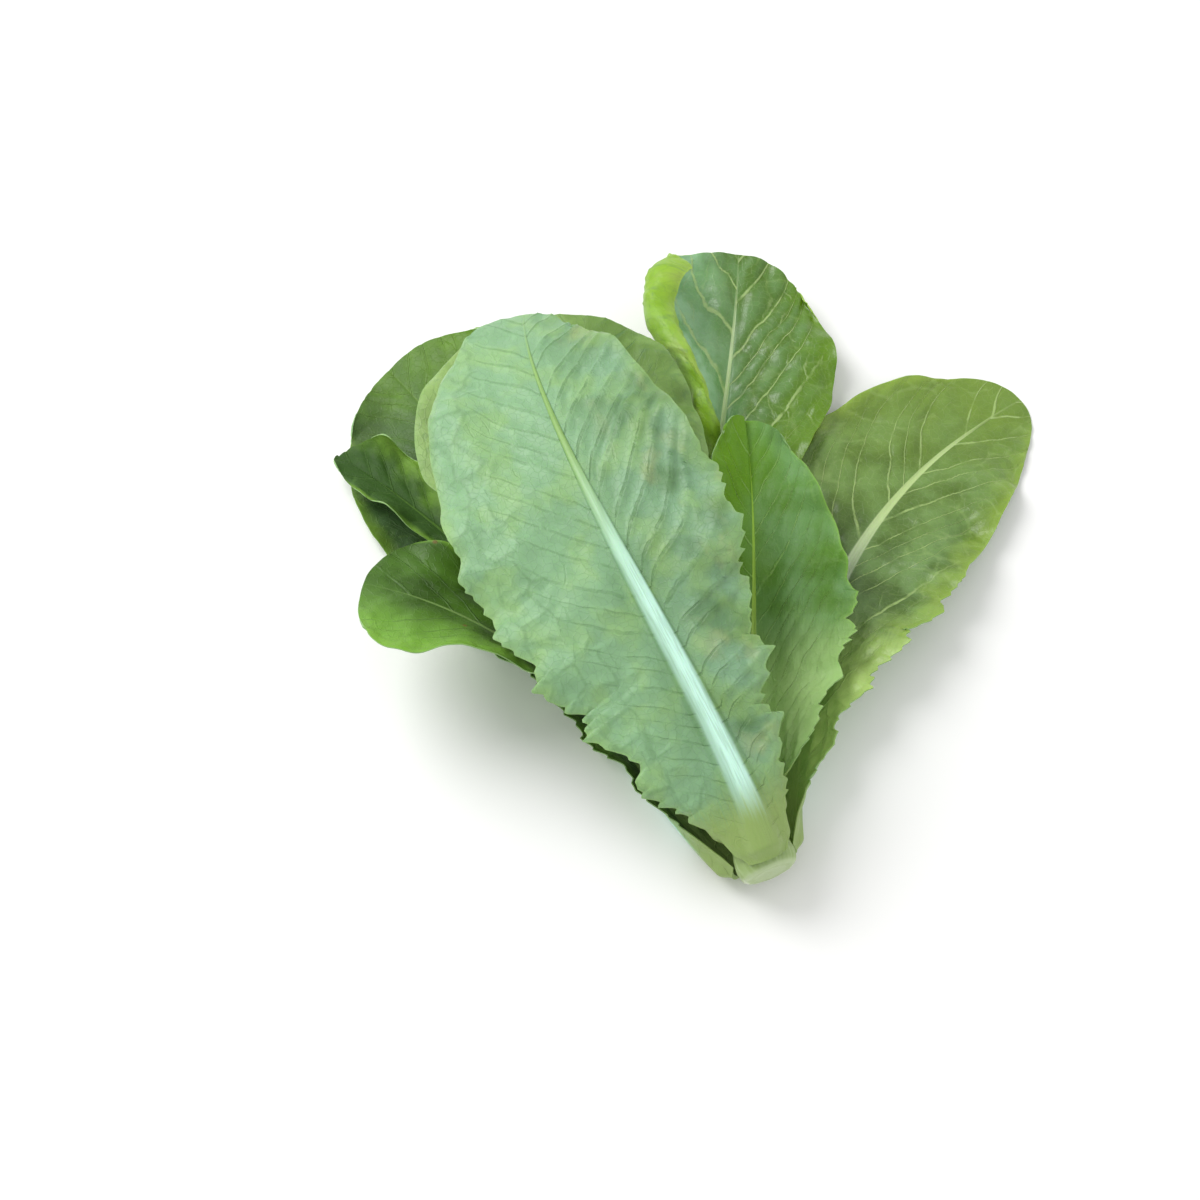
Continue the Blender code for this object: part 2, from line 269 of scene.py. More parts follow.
class Graph:
    """A node tree that is being wired."""

    def __init__(self, tree: bpy.types.NodeTree) -> None:
        """Keeps the tree."""
        self.tree = tree

    def add(self, kind: str, **settings: object) -> bpy.types.Node:
        """Adds a node and sets its properties.

        Args:
            kind: The node's type.
            settings: Its properties by name.

        Returns:
            The node.
        """
        node = self.tree.nodes.new("ShaderNode" + kind)
        for key, value in settings.items():
            setattr(node, key, value)
        return node

    def feed(self, node: bpy.types.Node, values: dict) -> None:
        """Links values to a node's inputs or sets them.

        Args:
            node: The node.
            values: By the input's name, with _ for each blank, or by its number.
        """
        for key, value in values.items():
            socket = node.inputs[key.replace("_", " ") if isinstance(key, str) else key]
            if isinstance(value, Value):
                self.tree.links.new(value.socket, socket)
            else:
                socket.default_value = value

    def outputs(self, node: bpy.types.Node) -> dict[str, Value]:
        """The outputs of a node by name."""
        return {socket.name: Value(self, socket) for socket in node.outputs}

    def math(self, operation: str, *values: object) -> Value:
        """The result of a Math node.

        Args:
            operation: What it does.
            values: One to three numbers.

        Returns:
            The result.
        """
        node = self.add("Math", operation=operation)
        self.feed(node, dict(enumerate(values)))
        return Value(self, node.outputs[0])

    def distance_to_whole(self, value: Value) -> Value:
        """How far a value is from the nearest whole number."""
        share = self.math("FRACT", value)
        return self.math("MINIMUM", share, 1 - share)

    def mix(self, factor: object, first: object, second: object) -> Value:
        """A mix of two colours.

        Args:
            factor: Share of the second one.
            first: One colour.
            second: The other colour.

        Returns:
            The mix.
        """
        node = self.add("Mix", data_type="RGBA")
        self.feed(node, {0: factor, 6: first, 7: second})
        return Value(self, node.outputs[2])

    def step(self, value: object, low: object, high: object) -> Value:
        """A soft step from 0 at low to 1 at high.

        Args:
            value: What is stepped.
            low: Where the step begins.
            high: Where it ends.

        Returns:
            The step.
        """
        node = self.add("MapRange", interpolation_type="SMOOTHSTEP")
        self.feed(node, dict(Value=value, From_Min=low, From_Max=high))
        return Value(self, node.outputs[0])

    def fall(self, value: object, low: object, high: object) -> Value:
        """A soft step from 1 at low to 0 at high."""
        return 1 - self.step(value, low, high)

    def attribute(self, name: str) -> Value:
        """The values of an attribute of the mesh."""
        return self.outputs(self.add("Attribute", attribute_name=name))["Fac"]

    def map(self, name: str) -> Value:
        """The coordinates of a UV map."""
        return self.outputs(self.add("UVMap", uv_map=name))["UV"]

    def parts(self, vector: Value) -> list[Value]:
        """The three numbers of a vector.

        Args:
            vector: The vector.

        Returns:
            The three values.
        """
        node = self.add("SeparateXYZ")
        self.feed(node, {0: vector})
        return list(self.outputs(node).values())

    def noise(self, vector: Value, scale: object, detail: float = 2.0,
              stretch: tuple = (1.0, 1.0, 1.0)) -> Value:
        """A noise value, about 0 to 1.

        Args:
            vector: Coordinates.
            scale: How many swells a unit of them has.
            detail: Octaves.
            stretch: Factors on the coordinates.

        Returns:
            The value.
        """
        scaled = self.add("Mapping")
        self.feed(scaled, dict(Vector=vector, Scale=stretch))
        node = self.add("TexNoise", noise_dimensions="3D")
        self.feed(node, dict(Vector=Value(self, scaled.outputs[0]), Scale=scale, Detail=detail))
        return Value(self, node.outputs[0])

    def cells(self, vector: Value, scale: object, feature: str) -> dict[str, Value]:
        """The outputs of a flat pattern of uneven cells.

        Args:
            vector: Coordinates.
            scale: How many cells a unit of them has.
            feature: What is measured.

        Returns:
            The outputs by name.
        """
        node = self.add("TexVoronoi", feature=feature, voronoi_dimensions="2D")
        self.feed(node, dict(Vector=vector, Scale=scale))
        return self.outputs(node)

    def bump(self, shader: bpy.types.Node, height: Value, distance: float) -> None:
        """Gives a shader the finest relief.

        Args:
            shader: The Principled node.
            height: Heights.
            distance: What a height of 1 is, in metres.
        """
        node = self.add("Bump")
        self.feed(node, dict(Distance=distance, Height=height))
        self.feed(shader, dict(Normal=Value(self, node.outputs[0])))


@dataclass
class Effect:
    """A shared node group with named inputs and outputs."""

    name: str
    inputs: dict[str, object]
    outputs: tuple[str, ...]

    def __post_init__(self) -> None:
        """Makes the group and its sockets."""
        self.tree = bpy.data.node_groups.new(self.name, "ShaderNodeTree")
        sockets = [(name, "INPUT", value) for name, value in self.inputs.items()]
        sockets += [(name, "OUTPUT", WHITE if name == "Color" else 0.0) for name in self.outputs]
        for name, way, value in sockets:
            kind = "NodeSocketColor" if isinstance(value, tuple) else "NodeSocketFloat"
            made = self.tree.interface.new_socket(name, in_out=way, socket_type=kind)
            made.default_value = value
        self.graph = Graph(self.tree)
        self.given = self.graph.outputs(self.tree.nodes.new("NodeGroupInput"))
        self.end = self.tree.nodes.new("NodeGroupOutput")

    def give(self, **values: Value) -> "Effect":
        """Links values to the group's outputs by name, and returns the group."""
        self.graph.feed(self.end, values)
        return self

    def place(self, graph: Graph, finish: object) -> dict[str, Value]:
        """Puts the group in a material.

        Args:
            graph: The material's tree.
            finish: What may have a field for an input, with small letters and _ in its name.

        Returns:
            The group node's outputs by name.
        """
        node = graph.add("Group", node_tree=self.tree)
        graph.feed(node, {name: getattr(finish, name.lower().replace(" ", "_"), usual)
                          for name, usual in self.inputs.items()})
        return graph.outputs(node)


def side_vein_effect() -> Effect:
    """Thin side veins, the cross veins between them, and the cells' crowns, where a highlight is
    painted.

    Returns:
        The node group.
    """
    made = Effect("side_veins", {"Vein width": 0.06, "Cross width": 0.05,
                                 "Vein reach": 0.9, "Left share": 1.0,
                                 "Right share": 1.0},
                  ("Veins", "Cross", "Crown", "Crease"))
    g, given = made.graph, made.given
    place, across = g.map("place"), g.attribute("across")
    along, out, _ = g.parts(g.map("veins"))
    sway = g.noise(place, SWAY_SWELLS) - 0.5
    along, out = sway * 0.12 + along, sway * 0.3 + out
    to_vein = g.distance_to_whole(along)
    to_cross = g.distance_to_whole(g.math("FLOOR", along) * GOLDEN + out)
    side = g.math("ABSOLUTE", across)
    width, cross_width = given["Vein width"] * (1.45 - side), given["Cross width"]
    near = g.fall(side, given["Vein reach"] - 0.35, given["Vein reach"])
    near = near * (given["Left share"] * g.step(across, 0.1, -0.1)
                   + given["Right share"] * g.step(across, -0.1, 0.1))
    broken = g.step(g.noise(place, BREAK_SWELLS), 0.36, 0.54) * 0.75 + 0.25
    cross = g.fall(to_cross, cross_width * 0.2, cross_width) * (1.2 - broken)
    return made.give(Veins=g.fall(to_vein, width * 0.3, width) * (near * broken),
                     Cross=cross * g.step(side, 0.12, 0.3),
                     # Painted highlight: the crowns of the cells, which the finishes paint lighter
                     Crown=g.step(to_vein, 0.0, 0.4) * g.step(to_cross, -0.1, 0.35),
                     Crease=g.fall(g.attribute("crease"), 0.1, 0.8) * broken)


def net_effect() -> Effect:
    """The finest net of veins and the small differences between its cells.

    Returns:
        The node group.
    """
    made = Effect("fine_net", {"Cells per map": 40.0, "Net width": 0.09}, ("Net", "Cells"))
    g, given = made.graph, made.given
    place = g.map("place")
    warp = g.add("TexNoise")
    g.feed(warp, dict(Vector=place, Scale=WARP_SWELLS))
    moved = g.add("VectorMath", operation="MULTIPLY_ADD")
    g.feed(moved, {0: g.outputs(warp)["Color"], 1: WARP, 2: place})
    moved, scale = Value(g, moved.outputs[0]), given["Cells per map"]
    to_edge = g.cells(moved, scale, "DISTANCE_TO_EDGE")["Distance"]
    return made.give(Net=g.fall(to_edge, 0.0, given["Net width"]),
                     Cells=g.parts(g.cells(moved, scale, "F1")["Color"])[0])


def tone_effect() -> Effect:
    """The blade's greens: patches, and a slow change over the leaf.

    Returns:
        The node group.
    """
    made = Effect("blade_tones",
                  {"Deep": seen(90, 130, 60), "Light": seen(130, 170, 90),
                   "Tone": seen(120, 165, 60), "Tone at": 0.5, "Tone along": 1.0,
                   "Tone side": 0.0, "Patches": 6.0, "Warm": seen(170, 172, 112),
                   "Warm share": 0.0, "Yellow": seen(150, 188, 104),
                   "Yellow share": 0.0}, ("Color",))
    g, given = made.graph, made.given
    place, across = g.map("place"), g.attribute("across")
    patch = g.step(g.noise(place, given["Patches"], 3.0), 0.36, 0.64)
    colour = g.mix(patch, given["Deep"], given["Light"])
    # Tone side leans the tone over one half of the leaf; some finishes use it to paint one half
    # lighter as light falls on it
    lean = across * given["Tone side"] + g.attribute("along") * given["Tone along"]
    lean = (g.noise(place, LEAN_SWELLS) - 0.5) * 0.35 + lean - given["Tone at"]
    colour = g.mix(g.step(lean, -0.35, 0.35), colour, given["Tone"])
    yellow = g.step(g.noise(place, YELLOW_SWELLS, 3.0), 0.46, 0.64)
    colour = g.mix(yellow * given["Yellow share"], colour, given["Yellow"])
    warm = g.step(g.noise(place, WARM_SWELLS, 4.0, WARM_STRETCH), 0.54, 0.68)
    warm = warm * g.step(across, -0.15, -0.6) * given["Warm share"]
    return made.give(Color=g.mix(warm, colour, given["Warm"]))


def rib_effect() -> Effect:
    """The midrib: where it is, the pale blade beside it, and its fibres.

    Returns:
        The node group.
    """
    made = Effect("midrib", {"Halo": 6.0, "Rib narrow": 1.0, "Foot narrow": 0.0},
                  ("Rib", "Halo", "Fibres"))
    g, given = made.graph, made.given
    place, along = g.map("place"), g.attribute("along")
    rib = g.attribute("rib") * (g.fall(along, 0.05, 0.5) * given["Foot narrow"]
                                + given["Rib narrow"])
    at_tip = g.step(along, 0.8, 0.98) * -0.85 + 1.0
    out = g.math("ABSOLUTE", g.parts(place)[1]) * (1 / UV_SCALE)
    out = g.noise(place, HALO_SWELLS) * 4.0 + out
    return made.give(Rib=g.fall(rib, 0.72, 1.05) * at_tip,
                     Halo=g.fall(out, 1.0, given["Halo"] + 3.0) * g.fall(along, 0.15, 0.85),
                     Fibres=g.noise(place, FIBRE_SWELLS, 3.0, FIBRE_STRETCH))


def margin_effect() -> Effect:
    """The band along the margin and the thin line at its very edge.

    Returns:
        The node group.
    """
    made = Effect("margin_band", {"Left reach": 8.0, "Right reach": 8.0}, ("Band", "Line"))
    g, left = made.graph, made.given["Left reach"]
    edge = g.attribute("edge")
    right = g.step(g.attribute("across"), -0.02, 0.02)
    reach = right * (made.given["Right reach"] - left) + left
    moved = (g.noise(g.map("place"), MARGIN_SWELLS) - 0.5) * reach + edge
    return made.give(Band=g.fall(moved, 0.0, reach), Line=g.fall(edge, 0.2, 0.9))


def speck_effect() -> Effect:
    """Small brown specks, few and far between.

    Returns:
        The node group.
    """
    made = Effect("specks", {"Specks": 0.0}, ("Speck",))
    g = made.graph
    cells = g.cells(g.map("place"), SPECK_CELLS, "F1")
    chosen = g.math("LESS_THAN", g.parts(cells["Color"])[0], made.given["Specks"])
    return made.give(Speck=g.fall(cells["Distance"], 0.03, 0.1) * chosen)


def shared_effects() -> list[Effect]:
    """The node groups that the finishes share."""
    return [make() for make in (side_vein_effect, net_effect, tone_effect, rib_effect,
                                margin_effect, speck_effect)]


def new_material(name: str, shown: Colour) -> tuple[bpy.types.Material, Graph, bpy.types.Node]:
    """A material that is ready to be wired.

    Args:
        name: Its name.
        shown: Its plain colour outside renders.

    Returns:
        The material, its tree and its Principled node.
    """
    made = bpy.data.materials.new(name)
    made.use_nodes = True
    made.diffuse_color = shown
    return made, Graph(made.node_tree), made.node_tree.nodes["Principled BSDF"]


@dataclass(frozen=True)
class LeafFinish:
    """The finish of one face of a leaf, with fields named like the effects' inputs."""

    name: str
    deep: Colour
    light: Colour
    tone: Colour
    margin: Colour
    rib: Colour
    rib_tip: Colour
    vein: Colour
    foot: Colour
    cut_end: Colour = seen(202, 216, 184)
    tone_at: float = 0.6
    tone_along: float = 1.0
    tone_side: float = 0.0
    patches: float = 5.0
    warm_share: float = 0.0
    yellow_share: float = 0.0
    left_reach: float = 7.0       # millimetres of the margin's band
    right_reach: float = 7.0
    margin_share: float = 0.7
    line_share: float = 0.35
    rib_narrow: float = 1.0
    foot_narrow: float = 0.3
    rib_fibres: float = 0.25
    rib_painted_shade: float = 0.0        # share of the light green painted as shade on the rib's right half
    halo: float = 6.0             # millimetres beside the rib
    halo_share: float = 0.35
    vein_width: float = 0.05
    vein_reach: float = 0.95
    vein_share: float = 0.6
    left_share: float = 1.0       # factors on the veins of the two halves
    right_share: float = 1.0
    cross_share: float = 0.25
    crease_share: float = 0.2
    net_share: float = 0.1
    # painted highlight: share of the light green on the cells' crowns
    crown_highlight_share: float = 0.12
    foot_reach: float = 0.14
    specks: float = 0.0
    roughness: float = 0.5
    specular: float = 0.4
    coat: float = 0.0
    vein_height: float = 0.25     # millimetres, as the next one
    net_height: float = 0.05

    def material(self, effects: list[Effect]) -> bpy.types.Material:
        """The face's material.

        Args:
            effects: The shared node groups.

        Returns:
            The material.
        """
        made, g, shader = new_material(self.name, self.deep)
        masks: dict[str, Value] = {}
        for effect in effects:
            masks |= effect.place(g, self)
        g.feed(shader, dict(Base_Color=self.rib_colour(g, self.blade_colour(g, masks), masks)))
        self.surface(g, shader, masks)
        return made

    def blade_colour(self, g: Graph, masks: dict[str, Value]) -> Value:
        """The blade's colour with its veins, its margin and the pale strip by the rib.

        Args:
            g: The material's tree.
            masks: What the effects give.

        Returns:
            The colour.
        """
        colour = masks["Color"]
        # On the under faces the vein colour is dark: there the veins, cross veins, creases and net
        # are painted shade, and the crowns' light green is painted highlight.
        for name, share, paint in (
                ("Crown", self.crown_highlight_share, self.light), ("Cells", self.net_share, self.deep),
                ("Band", self.margin_share, self.margin), ("Net", self.net_share, self.vein),
                ("Cross", self.cross_share, self.vein), ("Crease", self.crease_share, self.vein),
                ("Veins", self.vein_share, self.vein), ("Line", self.line_share, self.margin),
                ("Halo", self.halo_share, self.rib)):
            colour = g.mix(masks[name] * share, colour, paint)
        return colour

    def rib_colour(self, g: Graph, colour: Value, masks: dict[str, Value]) -> Value:
        """The colour with the midrib, the foot, the cut and the specks.

        Args:
            g: The material's tree.
            colour: The blade's colour.
            masks: What the effects give.

        Returns:
            The colour.
        """
        along, out = g.attribute("along"), g.parts(g.map("place"))[1]
        pale = g.mix(g.step(masks["Fibres"], 0.45, 0.62) * self.rib_fibres, self.rib, self.light)
        # Painted shade: the rib's right half turns towards the blade's light green
        pale = g.mix(g.step(out, 0.0, RIB_PAINTED_SHADE_WIDTH * UV_SCALE) * self.rib_painted_shade, pale, self.light)
        pale = g.mix(g.step(along, 0.35, 0.7), pale, self.rib_tip)
        colour = g.mix(masks["Rib"], colour, pale)
        # The foot's colour; on the inner and right leaves it is partly painted light.
        low = g.fall(masks["Fibres"] * 0.06 + along, self.foot_reach / 2, self.foot_reach)
        colour = g.mix(low, colour, self.foot)
        colour = g.mix(g.attribute("cut"), colour, self.cut_end)
        return g.mix(masks["Speck"] * SPECK_SHARE, colour, SPECK)

    def surface(self, g: Graph, shader: bpy.types.Node, masks: dict[str, Value]) -> None:
        """Sets gloss, softness and the finest relief.

        Args:
            g: The material's tree.
            shader: Its Principled node.
            masks: What the effects give.
        """
        place = g.map("place")
        g.feed(shader, {
            "Roughness": g.noise(place, DAMP_SWELLS) * DAMP + (self.roughness - DAMP / 2),
            "Specular IOR Level": self.specular, "Coat Weight": self.coat,
            "Coat Roughness": 0.2, "Subsurface Weight": 0.15,
            "Subsurface Radius": (0.6, 1.0, 0.3), "Subsurface Scale": 1.5 * MM})
        blade = (masks["Veins"] * self.vein_height + masks["Cross"] * (self.vein_height / 2)
                 + masks["Net"] * self.net_height)
        fibres = masks["Fibres"] * masks["Rib"] * 0.3
        grain = g.noise(place, GRAIN_SWELLS) * 0.03
        g.bump(shader, blade * (1 - masks["Rib"]) + fibres + grain, MM)


FOOT = seen(140, 166, 92)
# Painted light and shade: the lighter tone leans over one half and towards the tip, and the dark
# veins, creases and net are painted shade in the creases.
FRONT_UNDER = LeafFinish(
    "front_under_face", deep=seen(82, 118, 70), light=seen(124, 163, 126),
    tone=seen(134, 176, 130), margin=seen(136, 172, 98), rib=seen(202, 244, 226),
    rib_tip=seen(136, 174, 98), vein=seen(84, 122, 74), foot=FOOT, tone_at=0.15,
    tone_along=0.5, tone_side=0.5, warm_share=0.4, yellow_share=0.4, left_reach=8, right_reach=5,
    margin_share=0.4, rib_fibres=0.3, halo=2, halo_share=0.3, vein_width=0.06,
    vein_reach=0.8, vein_share=0.5, right_share=0.6, cross_share=0.15,
    crease_share=0.35, net_share=0.12, crown_highlight_share=0.25, roughness=0.46, specular=0.4,
    vein_height=-0.2, rib_narrow=1.4, foot_narrow=0.4, rib_painted_shade=0.55,
    cut_end=FOOT)
# Painted shade: the under face of the leaf beneath the front one, in darker olive greens than the
# front's under face because it lies in shade.
UNDER = replace(
    FRONT_UNDER, name="under_face", deep=seen(92, 126, 50), light=seen(110, 144, 68),
    tone=seen(142, 174, 98), tone_at=0.2, tone_along=0.0, tone_side=0.8,
    warm_share=0.1, rib_painted_shade=0.0)
HIDDEN_UNDER = replace(
    FRONT_UNDER, name="lower_under_face", deep=seen(122, 160, 104),
    light=seen(144, 182, 130), tone=seen(134, 174, 106))
# Painted light: the bright yellow-green of the rolled margin stands for light that shines through
# the leaf.
TOP_UNDER = replace(
    HIDDEN_UNDER, name="rolled_under_face", deep=seen(116, 160, 18),
    light=seen(136, 178, 40), tone=seen(126, 168, 24), margin=seen(176, 210, 84),
    rib=seen(190, 216, 140))
# Partly painted light: the pale foot and the wide bright margin band are the leaf's own paler
# colour, made lighter still against the shade that the inner leaf casts on it.
RIGHT_UPPER = LeafFinish(
    "right_upper_face", deep=seen(68, 98, 26), light=seen(108, 142, 76),
    tone=seen(116, 146, 48), margin=seen(150, 182, 66), rib=seen(208, 222, 200),
    rib_tip=seen(178, 202, 134), vein=seen(166, 194, 118), foot=seen(182, 212, 120),
    tone_at=0.8, tone_side=-0.1, patches=7, left_reach=8, right_reach=13, margin_share=0.6,
    vein_share=0.75, cross_share=0.15, halo=3, halo_share=0.25, roughness=0.38,
    specular=0.4, coat=0.15, rib_narrow=1.15, foot_reach=0.5)
# Painted light: the bright bluish deep and light greens of the left half stand for sheen, and are
# made lighter against the shadow of the rolled margin.
TOP_UPPER = LeafFinish(
    "top_upper_face", deep=seen(122, 176, 112), light=seen(170, 218, 174),
    tone=seen(74, 110, 2), margin=seen(92, 132, 0), rib=seen(226, 236, 220),
    rib_tip=seen(194, 216, 160), vein=seen(176, 202, 130), foot=FOOT, tone_at=0.7,
    tone_side=0.9, patches=9, left_reach=6, right_reach=22, margin_share=0.95, vein_share=0.7,
    cross_share=0.3, crease_share=0.12, halo=3, halo_share=0.2, roughness=0.32,
    specular=0.4, coat=0.2)
# Painted light: the bright yellow-green tone at the top stands for light that shines through the
# leaf, and the pale foot is partly its own colour and partly painted light against the shade of
# the leaves above.
INNER_UPPER = LeafFinish(
    "inner_upper_face", deep=seen(88, 132, 44), light=seen(110, 154, 90),
    tone=seen(100, 148, 0), margin=seen(126, 172, 74), rib=seen(168, 200, 84),
    rib_tip=seen(150, 192, 70), vein=seen(140, 182, 96), foot=seen(180, 218, 140),
    tone_at=0.55, tone_along=0.7, tone_side=-0.6, left_reach=3, right_reach=3, margin_share=0.4,
    line_share=0.9, vein_share=0.55, cross_share=0.15, halo=2, halo_share=0.15,
    roughness=0.45, specular=0.2, rib_narrow=2.0, foot_reach=0.58)
LEFT_UPPER = LeafFinish(
    "left_upper_face", deep=seen(50, 76, 34), light=seen(72, 102, 60),
    tone=seen(106, 150, 28), margin=seen(116, 154, 46), rib=seen(144, 174, 100),
    rib_tip=seen(128, 162, 72), vein=seen(114, 148, 74), foot=FOOT, tone_at=0.95,
    tone_side=0.2, margin_share=0.5, vein_share=0.4, cross_share=0.1, roughness=0.45,
    specular=0.3, rib_narrow=1.4)
CURLY_UPPER = LeafFinish(
    "curly_upper_face", deep=seen(34, 62, 12), light=seen(52, 84, 28),
    tone=seen(54, 88, 30), margin=seen(110, 150, 50), rib=seen(106, 142, 62),
    rib_tip=seen(86, 122, 48), vein=seen(86, 122, 54), foot=FOOT, left_reach=2, right_reach=14,
    margin_share=0.95, vein_share=0.3, cross_share=0.1, crease_share=0.4,
    roughness=0.55, specular=0.2, rib_narrow=1.6)
ROUND_UPPER = LeafFinish(
    "round_upper_face", deep=seen(50, 82, 14), light=seen(78, 118, 36),
    tone=seen(120, 170, 62), margin=seen(122, 170, 54), rib=seen(132, 160, 98),
    rib_tip=seen(120, 154, 80), vein=seen(92, 130, 60), foot=FOOT, tone_at=0.7,
    tone_along=0.45, tone_side=-0.75, left_reach=9, right_reach=2, margin_share=0.6,
    vein_share=0.3, cross_share=0.05, specks=0.14, roughness=0.42, specular=0.3,
    rib_narrow=1.8)
HEART_UPPER = LeafFinish(
    "heart_upper_face", deep=seen(168, 198, 104), light=seen(196, 220, 134),
    tone=seen(150, 190, 80), margin=seen(170, 205, 90), rib=seen(226, 236, 188),
    rib_tip=seen(200, 220, 140), vein=seen(206, 224, 150), foot=FOOT)
HEART_UNDER = replace(HEART_UPPER, name="heart_under_face", roughness=0.55)


# Objects
def put(name: str, data: bpy.types.ID) -> bpy.types.Object:
    """Puts an object with a mesh, a lamp or a camera in the scene.

    Args:
        name: The object's name.
        data: What it shows or does.

    Returns:
        The object.
    """
    made = bpy.data.objects.new(name, data)
    bpy.context.scene.collection.objects.link(made)
    return made


def aim(made: bpy.types.Object, place: Vector, way: Vector) -> None:
    """Moves a lamp or the camera to a place, in metres, and points it."""
    made.location = place
    made.rotation_euler = way.to_track_quat("-Z", "Y").to_euler()


# The stem and where the leaves stand on it
@dataclass(frozen=True)
class CutFinish:
    """The finish of the stem and its cut face."""

    skin: Colour = seen(142, 168, 98)
    pale: Colour = seen(158, 182, 122)
    cut: Colour = seen(178, 196, 150)
    ring: Colour = seen(168, 188, 136)
    stain: Colour = seen(222, 228, 208)

    def material(self) -> bpy.types.Material:
        """The stem's material, which reads its place from the mesh.

        Returns:
            The material.
        """
        made, g, shader = new_material("stem_and_cut", self.skin)
        place, out = g.map("place"), g.attribute("out")
        around = g.noise(place, SKIN_SWELLS, 3.0, SKIN_STRETCH)
        grain = g.noise(place, CUT_SWELLS, 4.0)
        skin = g.mix(g.step(around, 0.4, 0.65), self.skin, self.pale)
        moved = (grain - 0.5) * 0.3 + out
        ring = g.step(moved, 0.5, 0.62) * g.fall(moved, 0.68, 0.8)
        cut = g.mix(ring, self.cut, self.ring)
        turn = g.parts(place)[0] * (1 / TURN_SCALE)
        lower = g.step(g.math("SINE", turn), 0.5, -0.4) * 0.8
        cut = g.mix(g.step(moved, 0.72, 0.86) * lower, cut, self.stain)
        g.feed(shader, {
            "Base Color": g.mix(g.attribute("cut"), skin, cut),
            "Roughness": grain * 0.2 + 0.38, "Specular IOR Level": 0.45,
            "Subsurface Weight": 0.25, "Subsurface Radius": (1.0, 1.0, 0.6),
            "Subsurface Scale": 2.0 * MM})
        g.bump(shader, around + grain, 0.15 * MM)
        return made


@dataclass(frozen=True)
class Stem:
    """The short core that carries the leaves, with its cut butt."""

    name: str = "stem_core"
    node: str = "stem"
    heading: float = 112.0
    pitch: float = 5.0
    foot: tuple = (0.0, 0.0, 15.0)
    foot_radius: float = 10.0
    end_radius: float = 3.5
    length: float = 25.0
    leaf_gap: float = 1.0
    leaf_gap_growth: float = 0.055
    rings: int = 90
    sides: int = 144

    def axes(self) -> tuple[Array, Array, Array]:
        """The stem's direction, its right and its upper side.

        Returns:
            Three vectors of length one.
        """
        axis = direction(self.heading, self.pitch)
        up = unit(UP - axis[2] * axis)
        return axis, np.cross(axis, up), up

    def radius(self, along: Array) -> Array:
        """The radius at a place along the stem."""
        share = np.clip(along / self.length, 0, 1)
        return self.foot_radius + (self.end_radius - self.foot_radius) * share

    def leaf_radius(self, up_stem: float) -> float:
        """How far from the axis a leaf's foot stands."""
        return self.radius(up_stem) + self.leaf_gap + self.leaf_gap_growth * up_stem

    def profile(self) -> tuple[Array, Array]:
        """Radius and place along the axis, from the cut face's middle to the end.

        Returns:
            The radii and the places, ring by ring.
        """
        radii = [0.0, 3.0, 6.2, 8.0, 8.9, 9.5, 10.0, 9.6, 8.0, 6.0, 4.2, 2.6, 0.0]
        places = [-3.2, -3.3, -3.5, -3.4, -2.7, -1.4, 1.0, 4.0, 9.0, 16.0, 24.0, 27.5, 28.4]
        steps = np.linspace(0, len(radii) - 1, self.rings)
        return (np.interp(steps, np.arange(len(radii)), radii),
                np.interp(steps, np.arange(len(places)), places))

    def build(self, shift: Array, finish: CutFinish) -> bpy.types.Object:
        """The core and butt as one closed mesh.

        Args:
            shift: From the leaves' rule to the frame, in millimetres.
            finish: Its finish.

        Returns:
            The object.
        """
        axis, right, up = self.axes()
        radii, places = self.profile()
        turn = np.linspace(0, 2 * np.pi, self.sides + 1)
        lobes = 0.15 * np.sin(5 * turn + 0.6) + 0.1 * np.sin(9 * turn)
        radius = radii[:, None] + np.minimum(radii[:, None] / 10, 1) * lobes[None, :]
        fibre = ripple(turn[None, :] * 9, places[:, None] * 0.4, 3.0)
        radius = np.maximum(radius + 0.03 * fibre * (radii[:, None] > 4), 0)
        radius[[0, -1]] = 0
        saw = 0.12 * ripple(radius * np.cos(turn) * 0.4, radius * np.sin(turn) * 0.25, 8.0)
        along = places[:, None] + saw * (places[:, None] < -3)
        spoke = np.cos(turn)[:, None] * right + np.sin(turn)[:, None] * up
        points = (np.array(self.foot) + shift + along[..., None] * axis
                  + radius[..., None] * spoke[None])
        grid = Grid(points[:, :-1], wraps=True)
        cut = 1 - smooth(-3.4, -1.6, places[:, None] + 0 * turn[None, :-1])
        made = grid.mesh_object(self.name)
        grid.values(made, "cut", cut)
        grid.values(made, "out", radius[:, :-1] / self.foot_radius)
        grid.map(made, "place", turn[None, :-1] * TURN_SCALE + 0 * cut,
                 places[:, None] * UV_SCALE + 0 * cut)
        made.data.materials.append(finish.material())
        net = bmesh.new()
        net.from_mesh(made.data)
        bmesh.ops.remove_doubles(net, verts=net.verts, dist=MERGE)
        net.to_mesh(made.data)
        net.free()
        return made


